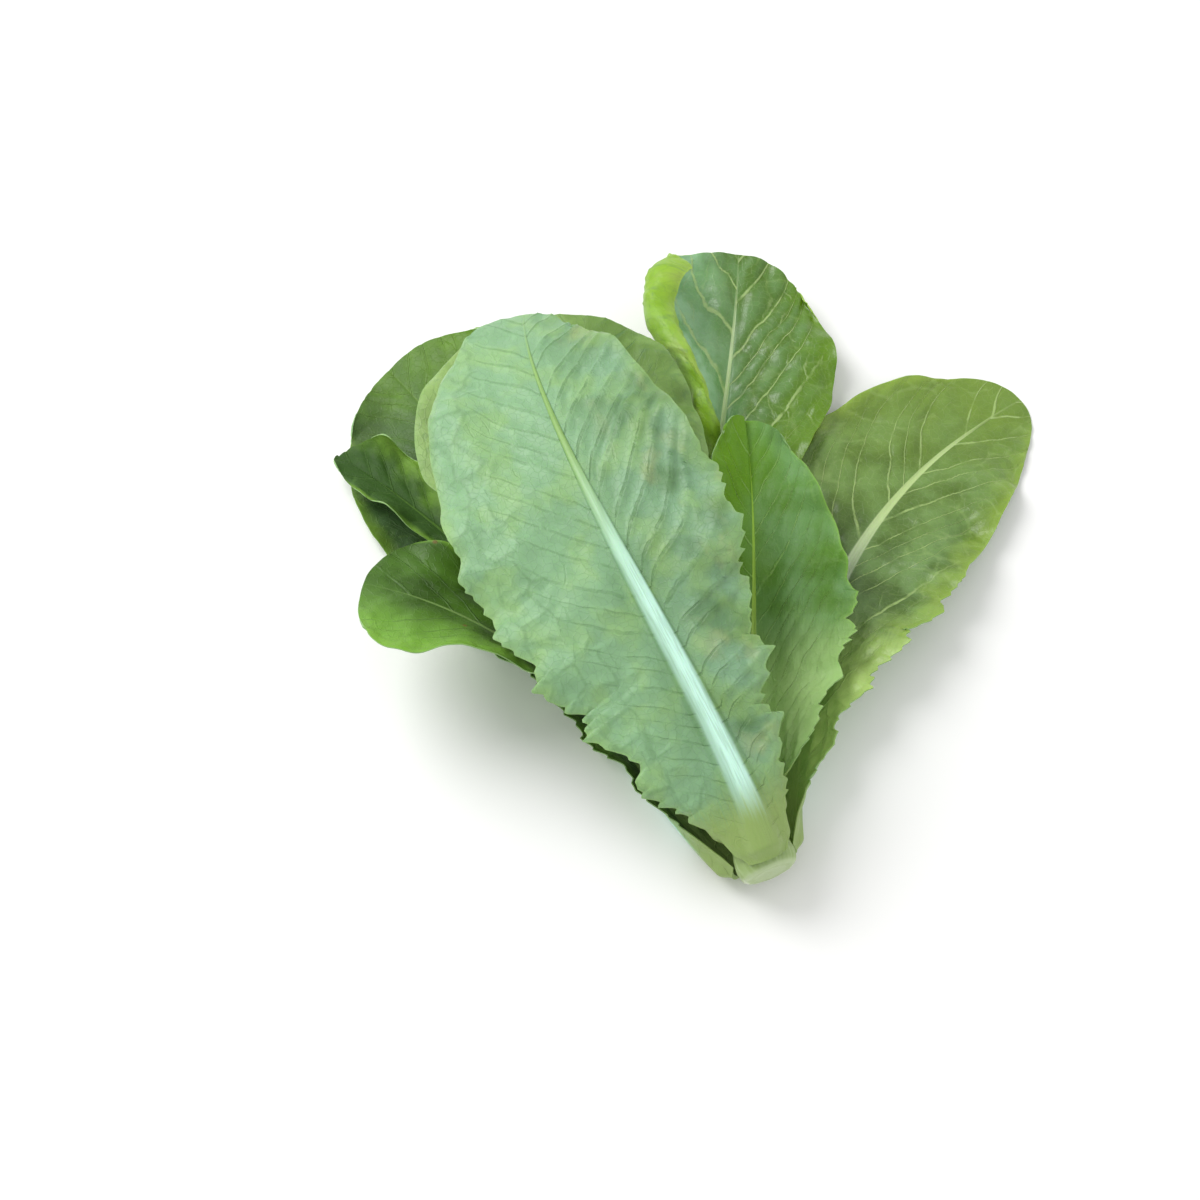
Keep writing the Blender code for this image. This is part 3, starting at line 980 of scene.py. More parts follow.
@dataclass
class Grid:
    """Rows of points, one layer or two, that become a closed mesh."""

    points: Array             # rows x columns x 3, or 2 x rows x columns x 3
    wraps: bool = False       # the last column meets the first

    def faces(self) -> tuple[Array, Array]:
        """The corners of each face and its material slot.

        Returns:
            Vertex numbers and slots.
        """
        if self.wraps:
            rows, columns = self.points.shape[:2]
            index = np.arange(rows * columns).reshape(rows, columns)
            index = np.hstack([index, index[:, :1]])
            return self.quads(index)[:, ::-1], np.zeros((rows - 1) * columns, int)
        rows, columns = self.points.shape[1:3]
        index = np.arange(rows * columns).reshape(rows, columns)
        upper, under = self.quads(index), self.quads(index)[:, ::-1] + rows * columns
        ring = np.concatenate([index[0, :-1], index[:-1, -1], index[-1, :0:-1],
                               index[:0:-1, 0]])
        after = np.roll(ring, -1)
        rim = np.stack([ring, ring + rows * columns, after + rows * columns, after], axis=1)
        slots = np.concatenate([np.full(len(upper), Face.UPPER.value),
                                np.full(len(under) + len(rim), Face.UNDER.value)])
        return np.vstack([upper, under, rim]), slots

    @staticmethod
    def quads(index: Array) -> Array:
        """The corners of the squares of a net of vertex numbers."""
        return np.stack([index[:-1, :-1], index[:-1, 1:], index[1:, 1:], index[1:, :-1]],
                        axis=-1).reshape(-1, 4)

    def mesh_object(self, name: str) -> bpy.types.Object:
        """A smooth object with its creases kept sharp.

        Args:
            name: The object's name.

        Returns:
            The object, in metres.
        """
        corners, slots = self.faces()
        mesh = bpy.data.meshes.new(name)
        points = self.points.reshape(-1, 3) * MM
        mesh.from_pydata(points.tolist(), [], corners.tolist())
        mesh.polygons.foreach_set("material_index", slots)
        mesh.shade_smooth()
        mesh.set_sharp_from_angle(angle=SHARP)
        return put(name, mesh)

    def spread(self, values: Array) -> Array:
        """Values of one layer, repeated for each layer."""
        return np.concatenate([values.ravel()] * (1 if self.wraps else 2))

    def values(self, made: bpy.types.Object, name: str, values: Array) -> None:
        """Gives the mesh a value at each point."""
        kept = made.data.attributes.new(name, "FLOAT", "POINT")
        kept.data.foreach_set("value", self.spread(values).astype(np.float32))

    def map(self, made: bpy.types.Object, name: str, first: Array, second: Array) -> None:
        """Gives the mesh a UV map from two values at each point.

        Args:
            made: The object.
            name: The map's name.
            first: One value.
            second: The other value.
        """
        both = np.stack([self.spread(first), self.spread(second)], axis=-1)
        corners = np.zeros(len(made.data.loops), int)
        made.data.loops.foreach_get("vertex_index", corners)
        layer = made.data.uv_layers.new(name=name)
        layer.data.foreach_set("uv", both[corners].astype(np.float32).ravel())


@dataclass(frozen=True)
class Veins:
    """How the side veins run and how much the blade puffs up between them."""

    spacing: tuple = (6.0, 11.0)  # at the foot and the tip
    left: tuple = (0.55, 1.1)     # way along the rib for each way out, foot and tip
    right: tuple = (0.5, 1.1)
    turn: tuple = (0.1, 0.9)      # places between which that changes
    bow: tuple = (0.3, 0.3)       # how much more towards the margin, left and right
    irregular: float = 0.4        # how uneven the spacing is
    hook: tuple = (1.5, 1.5)      # how far a vein runs along the rib before it leaves
    cell: float = 9.0             # length of a cell out from the rib
    puff: tuple = (0.7, 0.7)      # height of a cell's crown, left and right
    wander: float = 1.6           # how far a vein strays
    swell: float = 0.8            # height of the larger puckers
    blister: tuple = (0.4, 0.4)   # height of the blisters, left and right
    blister_from: tuple = (0.4, 0.6)    # share of the way out where they begin
    blister_size: float = 10.0
    ruffle: float = 0.6           # height of the small waves of the margin
    crumple: float = 0.1          # height of the smallest unevenness
    folds: float = 0.5            # height of the long folds beside the rib at the foot
    groove: float = 0.0           # depth of the groove on each side of the rib


@dataclass
class Sheet:
    """A leaf's upper face as rows and columns, with what is known at each point."""

    upper: Array
    depth: Array
    place: Array              # share of the way along the midrib
    out: Array                # way out from the midrib's middle
    width: Array              # half-width of the leaf there
    rib_half: Array
    side: Array               # -1 left, 1 right

    def pick(self, left: float, right: float) -> Array:
        """One value for the points of each half."""
        return np.where(self.side < 0, left, right)


class Midrib:
    """The curve of a leaf's midrib and the frame that goes along it."""

    def __init__(self, leaf: "Leaf", stem: Stem) -> None:
        """Follows the midrib from the stem to the tip.

        Args:
            leaf: The leaf.
            stem: What it stands on.
        """
        axis, right, up = stem.axes()
        turn, splay = np.radians(leaf.around), np.radians(leaf.splay)
        outward = np.cos(turn) * right + np.sin(turn) * up
        first = np.cos(splay) * axis + np.sin(splay) * outward
        self.u = np.linspace(0, 1, RIB_SAMPLES + 1)
        heading = np.degrees(np.arctan2(first[1], first[0]))
        pitch = np.degrees(np.arcsin(first[2]))
        self.along = direction(bend(heading, leaf.heading, self.u),
                               bend(pitch, leaf.pitch, self.u))
        above = unit(UP - first[2] * first)
        inward = unit((outward @ first) * first - outward)
        roll = np.degrees(np.arctan2(-inward @ np.cross(first, above), inward @ above))
        roll += 360 * round((leaf.around + 90 - roll) / 360)
        self.roll = bend(roll, leaf.roll, self.u)
        start = np.array(stem.foot) + axis * leaf.up_stem
        start = start + outward * stem.leaf_radius(leaf.up_stem)
        self.below = -self.along[0] * leaf.length
        steps = (self.along[1:] + self.along[:-1]) / 2 * leaf.length / RIB_SAMPLES
        self.points = np.vstack([start, start + np.cumsum(steps, axis=0)])

    def at(self, u: Array) -> tuple[Array, Array, Array]:
        """The frame at places along the midrib, which goes straight on below the foot.

        Args:
            u: Shares of the way along, under 0 below the foot.

        Returns:
            Points, the upper face's normal and the way to the right.
        """
        def between(rows: Array) -> Array:
            """The rows' values at u."""
            return np.stack([np.interp(u, self.u, rows[:, k]) for k in range(3)], axis=-1)
        along = unit(between(self.along))
        roll = np.radians(np.interp(u, self.u, self.roll))[..., None]
        above = unit(UP - along[..., 2:3] * along)
        right = np.cross(along, above)
        normal = np.cos(roll) * above - np.sin(roll) * right
        points = between(self.points) + np.maximum(-u, 0)[..., None] * self.below
        return points, normal, np.cos(roll) * right + np.sin(roll) * above


def tooth(x: Array) -> Array:
    """A saw edge with a slow rise and a quick fall."""
    part = x - np.floor(x)
    return np.where(part < TOOTH_RISE, part / TOOTH_RISE, (1 - part) / TOOTH_FALL)


def section(fold: Array, curl: Array, power: float, v: Array) -> tuple[Array, Array]:
    """A cross-section whose slope grows from fold by curl.

    Args:
        fold: Slope at the rib for each row, in radians.
        curl: What the slope gains out to the margin.
        power: How close to the margin it gains that.
        v: Shares of the way out, by row.

    Returns:
        Way out and rise, as shares of the half-width.
    """
    s = np.linspace(0, 1, SECTION_STEPS + 1)
    slope = fold[:, None] + curl[:, None] * s ** power
    middle = (slope[:, 1:] + slope[:, :-1]) / 2
    start = np.zeros((len(fold), 1))
    out = np.hstack([start, np.cumsum(np.cos(middle), axis=1) / SECTION_STEPS])
    rise = np.hstack([start, np.cumsum(np.sin(middle), axis=1) / SECTION_STEPS])
    rows = range(len(fold))
    return (np.stack([np.interp(v[i], s, out[i]) for i in rows]),
            np.stack([np.interp(v[i], s, rise[i]) for i in rows]))


def both_faces(upper: Array, depth: Array) -> tuple[Array, Array]:
    """The two faces of a blade, pressed flat where they come down on the surface.

    Args:
        upper: The upper face.
        depth: The thickness below it.

    Returns:
        Upper and under face.
    """
    under = upper - normals(upper) * depth[..., None]
    low = np.minimum(upper[..., 2], under[..., 2])
    pressed = np.maximum(0, (low - PRESS) * PRESS_TOP / (PRESS_TOP - PRESS))
    move = np.where(low < PRESS_TOP, pressed - low, 0)[..., None] * UP
    return upper + move, under + move


@dataclass(frozen=True)
class Leaf:
    """One leaf. Pairs are (middle, tip) of the midrib or (left, right)."""

    node: str
    around: float
    up_stem: float
    length: float
    width: float
    widest: float
    lean: float
    splay: float
    heading: tuple
    pitch: tuple
    roll: tuple               # 0 shows the upper face, 180 the under face
    fold: tuple
    curl: tuple
    wave: float
    teeth: float
    foot: float
    rows: int
    seed: int
    taper: float = 0.6
    folded_from: float = 0.3
    tip_fold: float = 0.6
    curl_power: float = 2.0
    waves: float = 5.0
    apex: float = 0.52
    low: tuple = (1, 1)       # share of each half's width that the lower part keeps
    reach_down: float = 0.0   # how far the foot goes on towards the cut butt
    veins: Veins = Veins()
    faces: tuple = (RIGHT_UPPER, HIDDEN_UNDER)    # finishes of the two faces
    fine: tuple = (320, 6, 34)    # rows, columns on half the rib and on half the blade

    @property
    def name(self) -> str:
        """The name of the piece."""
        return self.node + "_blade"

    def half_width(self, u: Array, side: int) -> Array:
        """The outline with its teeth.

        Args:
            u: Places along the leaf.
            side: -1 for the left half, 1 for the right one.

        Returns:
            The half-width at each place.
        """
        place = np.clip(u, 0, 1) ** (np.log(0.5) / np.log(self.widest))
        power = np.where(u < self.widest, self.taper, self.apex)
        body = self.width / 2 * (1 + self.lean * side) * np.sin(np.pi * place) ** power
        body = body * (WAIST + ABOVE_WAIST * smooth(0.0, 0.12, u))
        body = body * (1 - (1 - self.low[int(side > 0)]) * (1 - smooth(0.15, 0.5, u)))
        foot = self.foot * (1 - smooth(0.0, 0.22, u))
        count = u * self.rows / ROWS_PER_TOOTH
        size = TOOTH_LEAST + TOOTH_SPREAD * uneven(np.floor(count), self.seed * 2 + (side > 0))
        return body + foot + self.teeth * window(TEETH_BEGIN, TEETH_END, u) * size * tooth(count)

    def fine_edge(self, u: Array, side: int) -> Array:
        """What the finer grid adds to the outline: small teeth and unevenness.

        Args:
            u: Places along the leaf.
            side: -1 for the left half, 1 for the right one.

        Returns:
            What the half-width gains at each place.
        """
        seed, along = self.seed * 3.1 + side, u * self.length
        count = along / SMALL_TOOTH + 0.7 * ripple(along / UNEVEN_TEETH, 0 * u, seed)
        size = 0.2 + 1.1 * uneven(np.floor(count), seed)
        size = self.teeth * SMALL_SHARE * window(SMALL_BEGIN, SMALL_END, u) * size
        corner = FOOT_CORNER * (1 - smooth(0, FOOT_END, along + self.reach_down))
        rest = 0.5 * ripple(along / UNEVEN_EDGE, 0 * u, seed + 5) - corner
        return size * (tooth(count) ** 1.6 - SMALL_MIDDLE) + rest

    def sheet(self, stem: Stem, along: Array, columns: Array, fine: bool = False) -> Sheet:
        """The upper face by rows and columns.

        Args:
            stem: What the leaf stands on.
            along: Rows, 0 at the foot and 1 at the tip.
            columns: 0 in the middle of the rib, 1 at its edge and 5 at the margin.
            fine: Whether the outline has its small teeth.

        Returns:
            The sheet.
        """
        rib = Midrib(self, stem)
        shape = (len(along), len(columns))
        made = Sheet(np.zeros((*shape, 3)), *(np.zeros(shape) for _ in range(6)))
        leaf_size = min(1.0, self.foot / LARGE_FOOT)
        last = np.abs(columns).max()
        for side in (-1, 1):
            mine = np.nonzero(columns * side >= 0)[0]
            column = np.abs(columns[mine])[None, :] + 0 * along[:, None]
            row = (along * TIP_START)[:, None] + 0 * column
            width = self.half_width(row, side)
            if fine:
                width = width + self.fine_edge(row, side)
            rib_half = (RIB_HALF_WIDTH * (1 - row) ** RIB_TAPER + RIB_LEAST) * leaf_size
            rib_half = np.minimum(rib_half, width * RIB_MOST)
            out = np.where(column <= 1, column * rib_half,
                           rib_half + (width - rib_half) * (column - 1) / (last - 1))
            v = out / width
            u = along[:, None] * (TIP_START + (1 - TIP_START) * (1 - v ** TIP_ROUND))
            points, normal, right = rib.at(u)
            way, rise = self.cross_section(stem, along, u, v, width, int(side > 0))
            made.upper[:, mine] = (points + (side * way)[..., None] * right
                                   + rise[..., None] * normal)
            trim = RIB_TRIM if fine else 1.0
            ridge = np.clip(1 - (out / rib_half / trim) ** 2, 0, 1) ** RIDGE_ROUND
            made.depth[:, mine] = BLADE + RIB_RISE * leaf_size * (1 - u) ** RIDGE_TAPER * ridge
            for kept, values in ((made.place, u), (made.out, out), (made.width, width),
                                 (made.rib_half, rib_half), (made.side, side + 0 * u)):
                kept[:, mine] = values
        return made

    def cross_section(self, stem: Stem, along: Array, u: Array, v: Array, width: Array,
                      hand: int) -> tuple[Array, Array]:
        """Way out and rise of one half of each row.

        Args:
            stem: What the foot clasps.
            along: The rows.
            u: Places along the midrib.
            v: Shares of the way out.
            width: Half-widths.
            hand: 0 for the left half, 1 for the right one.

        Returns:
            Way out from the midrib and rise above it.
        """
        bent = smooth(self.folded_from - 0.3, self.folded_from, along)
        eased = bent * (1 - (1 - self.tip_fold) * smooth(0.5, 1.0, along))
        way, rise = section(np.radians(self.fold[hand]) * eased,
                            np.radians(self.curl[hand]) * bent, self.curl_power, v)
        grown = smooth(0.0, 0.3, along)[:, None]
        clasp = self.foot / stem.leaf_radius(self.up_stem) * (1 - grown)
        clasp = np.maximum(clasp, 1e-3)
        way = width * (np.sin(clasp * v) / clasp * (1 - grown) + way * grown)
        rise = width * ((1 - np.cos(clasp * v)) / clasp * (1 - grown) + rise * grown)
        phase = 2 * np.pi * (self.waves * u + 0.37 * self.seed + 0.29 * hand)
        swing = np.sin(phase) + 0.35 * np.sin(2.3 * phase + 1)
        return way, rise + self.wave * smooth(0.1, 0.35, u) * v ** 2 * swing

    def vein_counts(self, sheet: Sheet) -> tuple[Array, Array]:
        """Numbers that are whole on a side vein and on a cross vein.

        Args:
            sheet: The leaf's fine sheet.

        Returns:
            Count along the midrib and count out from it.
        """
        s, t = sheet.place * self.length, sheet.out
        low, high = (sheet.pick(*pair) for pair in zip(self.veins.left, self.veins.right))
        slant = low + (high - low) * smooth(*self.veins.turn, sheet.place)
        start = s - slant * t - sheet.pick(*self.veins.bow) * t * t / np.maximum(sheet.width, 5)
        hook = 1 - np.exp(-np.maximum(t - sheet.rib_half, 0) / 3)
        start = start - sheet.pick(*self.veins.hook) * hook
        seed = self.seed + 0.5 * sheet.side
        stray = swells(s, t, STRAY, seed) + 0.5 * swells(s, t, SMALL_STRAY, seed + 9)
        start = start + self.veins.wander * stray * smooth(0.0, 6.0, t)
        first, last = self.veins.spacing
        start = start + self.veins.irregular * first * ripple(start / first / 1.9, 0, seed)
        growth = (last - first) / self.length
        if abs(growth) < 1e-6:
            count = start / first
        else:
            count = np.log(np.maximum(1 + growth * start / first, 0.3)) / growth
        sway = 0.35 * swells(s, t, CELL_SWAY, seed + 4)
        return count, t / self.veins.cell + sway

    def relief(self, sheet: Sheet, count: Array, cells: Array) -> tuple[Array, Array]:
        """Height of the puckers, the blisters and the cells between the veins.

        Args:
            sheet: The leaf's fine sheet.
            count: Whole on a side vein.
            cells: Whole on a cross vein, before the shift of each band.

        Returns:
            The height at each point and how far it is from the border of a blister.
        """
        band = np.floor(count)
        across = count - band
        along = cells + band * GOLDEN
        along = along - np.floor(along)
        crown = (4 * across * (1 - across)) ** 0.6
        crown = crown * (0.55 + 0.45 * (4 * along * (1 - along)) ** 0.5)
        inner = smooth(0.0, 5.0, sheet.out - sheet.rib_half)
        v = sheet.out / sheet.width
        edge = 1 - 0.5 * smooth(0.85, 1.0, v)
        rest = smooth(0.04, 0.16, sheet.place)
        s, t = sheet.place * self.length, sheet.out * sheet.side
        swell = swells(s, t, PUCKER, self.seed + 2) * smooth(0.0, 12.0, sheet.out)
        puff = sheet.pick(*self.veins.puff)
        size = self.veins.blister_size
        begin = sheet.pick(*self.veins.blister_from) + 0.15 * swells(s, t, BORDER, 5.0)
        blistered = smooth(0.0, 0.25, v - begin)
        warp = [0.35 * ripple(s / size * 1.3, t / size * 1.3, seed) for seed in (7.0, 8.0)]
        crease = blisters(s / size + warp[0], t / size + warp[1], self.seed + 3)
        bulge = sheet.pick(*self.veins.blister) * (smooth(-0.1, 0.45, crease) - 0.5)
        puff = puff * (0.4 + 0.6 * smooth(0.25, 0.55, sheet.place))
        height = puff * (crown - 0.6) * (1 - 0.6 * blistered) + bulge * blistered
        height = height + self.veins.swell * swell
        crumple = swells(s, t, CRUMPLE, 11.0) + 1.5 * swells(s, t, LARGE_CRUMPLE, 12.0)
        height = height + self.veins.crumple * crumple
        folds = 1 - 2 * np.abs(swells(sheet.out, s, FOLD, self.seed + 6))
        height = height + self.veins.folds * folds * (1 - smooth(0.12, 0.4, sheet.place))
        height = height + self.veins.ruffle * smooth(0.7, 1.0, v) * ripple(s / RUFFLE, v, 6.0)
        beside = sheet.out - sheet.rib_half * RIB_TRIM
        groove = smooth(-1.0, 1.2, beside) * (1 - smooth(1.6, 6.5, beside))
        groove = self.veins.groove * groove * (1 - smooth(0.35, 0.75, sheet.place))
        return (height * inner * edge * rest + groove * rest,
                (crease + 1 - blistered) * size)

    def lift(self, stem: Stem, below: "Heights") -> tuple[Array, Array]:
        """How far the leaf is lifted off what lies below it, on the coarse grid.

        Args:
            stem: What the leaf stands on.
            below: What lies below. The leaf is added to it.

        Returns:
            The lift at the coarse grid's points and the two faces there.
        """
        sheet = self.sheet(stem, np.linspace(0, 1, self.rows), COLUMNS)
        upper = below.settled(sheet, self.length)
        faces = both_faces(upper, sheet.depth)
        for face in faces:
            below.add(face)
        return upper[..., 2] - sheet.upper[..., 2], np.stack(faces)

    def columns(self) -> Array:
        """The fine grid's columns, close together on the rib.

        Returns:
            Columns, counted as COLUMNS are.
        """
        _, on_rib, on_blade = self.fine
        half = np.concatenate([np.linspace(0, 1, on_rib + 1),
                               np.linspace(1, COLUMNS[-1], on_blade + 1)[1:]])
        return np.concatenate([-half[:0:-1], half])

    def build(self, stem: Stem, lift: Array, shift: Array) -> bpy.types.Object:
        """The leaf's fine mesh with its maps.

        Args:
            stem: What the leaf stands on.
            lift: At the coarse grid's points.
            shift: From the leaves' rule to the frame, in millimetres.

        Returns:
            The object.
        """
        first = -self.reach_down / self.length
        along, columns = np.linspace(first, 1, self.fine[0]), self.columns()
        sheet = self.sheet(stem, along, columns, fine=True)
        coarse_rows = np.maximum(along, 0) * (self.rows - 1)
        lifted = eased_between(eased_between(lift, coarse_rows).T,
                               columns - COLUMNS[0]).T
        upper = sheet.upper + lifted[..., None] * UP
        count, cells = self.vein_counts(sheet)
        height, crease = self.relief(sheet, count, cells)
        upper = upper + height[..., None] * normals(upper)
        edge = sheet.width - sheet.out
        depth = sheet.depth * (THIN_EDGE + (1 - THIN_EDGE) * smooth(0.0, 3.0, edge))
        up_foot = (sheet.place - first) * self.length
        depth = depth * (THIN_FOOT + (1 - THIN_FOOT) * smooth(0.0, FOOT_END, up_foot))
        grid = Grid(np.stack(both_faces(upper, depth)) + shift)
        made = grid.mesh_object(self.name)
        grid.map(made, "place", sheet.place * self.length * UV_SCALE,
                 sheet.out * sheet.side * UV_SCALE)
        grid.map(made, "veins", count, cells)
        grid.values(made, "rib", np.minimum(sheet.out / sheet.rib_half, 9))
        grid.values(made, "edge", edge)
        grid.values(made, "crease", crease)
        grid.values(made, "along", sheet.place)
        grid.values(made, "cut", 1 - smooth(0.0, 1.0, up_foot))
        grid.values(made, "across", sheet.out / sheet.width * sheet.side)
        return made


def eased_between(rows: Array, places: Array) -> Array:
    """Values between the rows of a table, on smooth curves through them.

    Args:
        rows: The table.
        places: Row numbers, whole or not.

    Returns:
        A row for each place.
    """
    last = len(rows) - 1
    i = np.clip(np.floor(places).astype(int), 0, last - 1)
    t = (places - i)[:, None]
    before, after = rows[np.maximum(i - 1, 0)], rows[np.minimum(i + 2, last)]
    first, second = rows[i], rows[i + 1]
    return first + t * ((second - before) / 2 + t * (
        before - 2.5 * first + 2 * second - after / 2
        + t * (1.5 * (first - second) + (after - before) / 2)))


class Heights:
    """The highest points of what lies below, on a square net."""

    def __init__(self) -> None:
        """Starts with the bare surface."""
        self.top = np.zeros((NET_CELLS, NET_CELLS))

    def cells(self, points: Array) -> list[Array]:
        """The net's cell of each point."""
        return [np.clip(np.rint((points[..., k] - NET_CORNER[k]) / NET_CELL).astype(int),
                        0, NET_CELLS - 1) for k in (0, 1)]

    def add(self, face: Array) -> None:
        """Takes a face's heights into the net.

        Args:
            face: Its points by row and column.
        """
        steps = np.linspace(0, 1, FACE_STEPS)
        for a in steps:
            for b in steps:
                near = (1 - b) * face[:, :-1] + b * face[:, 1:]
                points = (1 - a) * near[:-1] + a * near[1:]
                i, j = self.cells(points)
                np.maximum.at(self.top, (i.ravel(), j.ravel()), points[..., 2].ravel())

    def near(self, points: Array) -> Array:
        """The highest place round each point.

        Args:
            points: The points.

        Returns:
            The height for each one.
        """
        reach = range(-NET_REACH, NET_REACH + 1)
        i, j = self.cells(points)
        return np.max([self.top[np.clip(i + a, 0, NET_CELLS - 1), np.clip(j + b, 0, NET_CELLS - 1)]
                       for a in reach for b in reach], axis=0)

    @staticmethod
    def widened(need: Array) -> Array:
        """The highest need among a point and its neighbours.

        Args:
            need: The need at each point.

        Returns:
            What each point takes from them.
        """
        rows, columns = need.shape
        padded = np.pad(need, 1, mode="edge")
        return np.max([padded[i:i + rows, j:j + columns]
                       for i in range(3) for j in range(3)], axis=0)

    @staticmethod
    def blurred(need: Array) -> Array:
        """Each value drawn towards its neighbours.

        Args:
            need: The values.

        Returns:
            The smoother values.
        """
        padded = np.pad(need, 1, mode="edge")
        sides = padded[:-2, 1:-1] + padded[2:, 1:-1] + padded[1:-1, :-2] + padded[1:-1, 2:]
        return (4 * need + sides) / 8

    def settled(self, sheet: Sheet, length: float) -> Array:
        """The upper face lifted until both faces lie clear of what is below.

        Args:
            sheet: The leaf's coarse sheet.
            length: The leaf's length.

        Returns:
            The lifted upper face.
        """
        upper = sheet.upper
        gives = smooth(FREE_FROM, FREE_TO, sheet.place * length)
        for _ in range(SETTLE_ROUNDS):
            faces = both_faces(upper, sheet.depth)
            top = np.maximum(self.near(faces[0]), self.near(faces[1]))
            lowest = np.minimum(faces[0][..., 2], faces[1][..., 2])
            sunk = -np.minimum(upper[..., 2], upper[..., 2] - sheet.depth)
            need = np.where(top > 0, top + CLEARANCE - lowest, sunk)
            need = np.maximum(0, need) * gives
            lift = self.widened(need)
            for _ in range(SPREAD_ROUNDS):
                lift = np.maximum(self.blurred(lift), need)
            upper = upper + lift[..., None] * UP
            if need.max() < SETTLED:
                break
        return upper


BROAD = Veins(spacing=(11, 17), left=(0.6, 0.8), right=(0.9, 1.2), bow=(1.3, 0.8),
              cell=16, puff=(1.3, 1.3), wander=1.9, irregular=0.6, swell=1.8, crumple=0.2)
HEART = (90, 3, 14)
# From the lowest to the highest
LEAVES = [
    Leaf("leaf_right", -25, 1, 221, 83, .60, -.08, 24, (64, 32), (3, -6), (-2, 4),
         (8, 2), (8, 0), 1.6, 5.5, 9.5, 30, 0, taper=.8,
         veins=replace(BROAD, blister=(.7, .7), blister_from=(.2, .2), blister_size=12),
         faces=(RIGHT_UPPER, HIDDEN_UNDER)),
    Leaf("leaf_left", -145, 1, 241, 100, .75, .1, 24, (98, 134), (1, 5), (-6, 14),
         (5, 11), (10, 14), 2.5, 5.0, 9.5, 30, 1, faces=(LEFT_UPPER, HIDDEN_UNDER)),
    Leaf("leaf_top", -85, 9, 243, 98, .79, -.18, 12, (69, 87), (-2, 18), (-5, -3),
         (74, 3), (215, 4), 2.5, 4.0, 7.5, 30, 2, taper=1.0, folded_from=.68,
         tip_fold=.12, curl_power=3.6, apex=.62, faces=(TOP_UPPER, TOP_UNDER),
         veins=replace(BROAD, spacing=(13, 20), right=(1.1, 1.2), puff=(2.0, 2.0), swell=2.4,
                       cell=12, crumple=.3, wander=2.4, irregular=.8, blister=(1.0, 1.1),
                       blister_from=(.05, .1), blister_size=13)),
    Leaf("leaf_curly", -145, 16, 203, 29, .87, .32, 24, (121, 145), (1, 0), (-2, -1),
         (14, 20), (20, 70), 4.0, 4.0, 6.5, 26, 3, taper=.7,
         faces=(CURLY_UPPER, HIDDEN_UNDER), veins=Veins(puff=(1.2, 1.0), swell=1.3, cell=7)),
    Leaf("leaf_inner", -35, 14, 149, 56, .48, .2, 20, (79, 97), (9, 14), (8, 8),
         (20, 7), (10, 1), 2.5, 4.5, 6.0, 26, 5, taper=.55, low=(.4, .95),
         faces=(INNER_UPPER, HIDDEN_UNDER),
         veins=replace(BROAD, spacing=(8, 12), puff=(.7, .8), crumple=.15)),
    Leaf("leaf_round", -205, 9, 150, 53, .86, -.05, 24, (131, 169), (5, 1), (-50, -10),
         (1, 4), (8, 13), 1.5, 3.0, 7.5, 26, 4, taper=.68, waves=4,
         faces=(ROUND_UPPER, HIDDEN_UNDER), veins=replace(BROAD, puff=(.3, .3))),
    Leaf("heart_right", 35, 22, 96, 30, .62, 0, 10, (108, 104), (10, 4), (150, 170),
         (20, 20), (30, 30), 1.5, 1.5, 3.6, 18, 9, waves=4,
         faces=(HEART_UPPER, HEART_UNDER), fine=HEART),
    Leaf("heart_top", 95, 16, 120, 46, .62, 0, 12, (114, 110), (10, -4), (182, 180),
         (12, 12), (30, 30), 1.5, 2.0, 6.5, 22, 10, waves=4,
         faces=(HEART_UPPER, HEART_UNDER), fine=HEART),
    Leaf("leaf_under", 35, 9, 200, 101, .76, .285, 14, (138, 86), (9, -3), (168, 178),
         (4, 1), (15, 10), 2.5, 4.0, 7.5, 30, 6, taper=.5, faces=(LEFT_UPPER, UNDER)),
    Leaf("leaf_front", 95, 1, 221, 85, .57, .09, 20, (130, 92), (22, -30), (182, 187),
         (-6, -1), (4, 13), 2.0, 5.5, 9.5, 32, 7, taper=.65, low=(.78, 1), reach_down=2.8,
         faces=(LEFT_UPPER, FRONT_UNDER), fine=(380, 9, 48),
         veins=Veins(spacing=(5, 12), left=(.15, 1.05), right=(.5, .8), turn=(.35, .65),
                     bow=(.1, .2), hook=(3.5, 1.0), puff=(1.4, .9), irregular=.5,
                     blister=(.35, .7), blister_from=(.75, .3), ruffle=1.2, swell=1.5,
                     crumple=.12, folds=.9, wander=.9, groove=.9)),
]


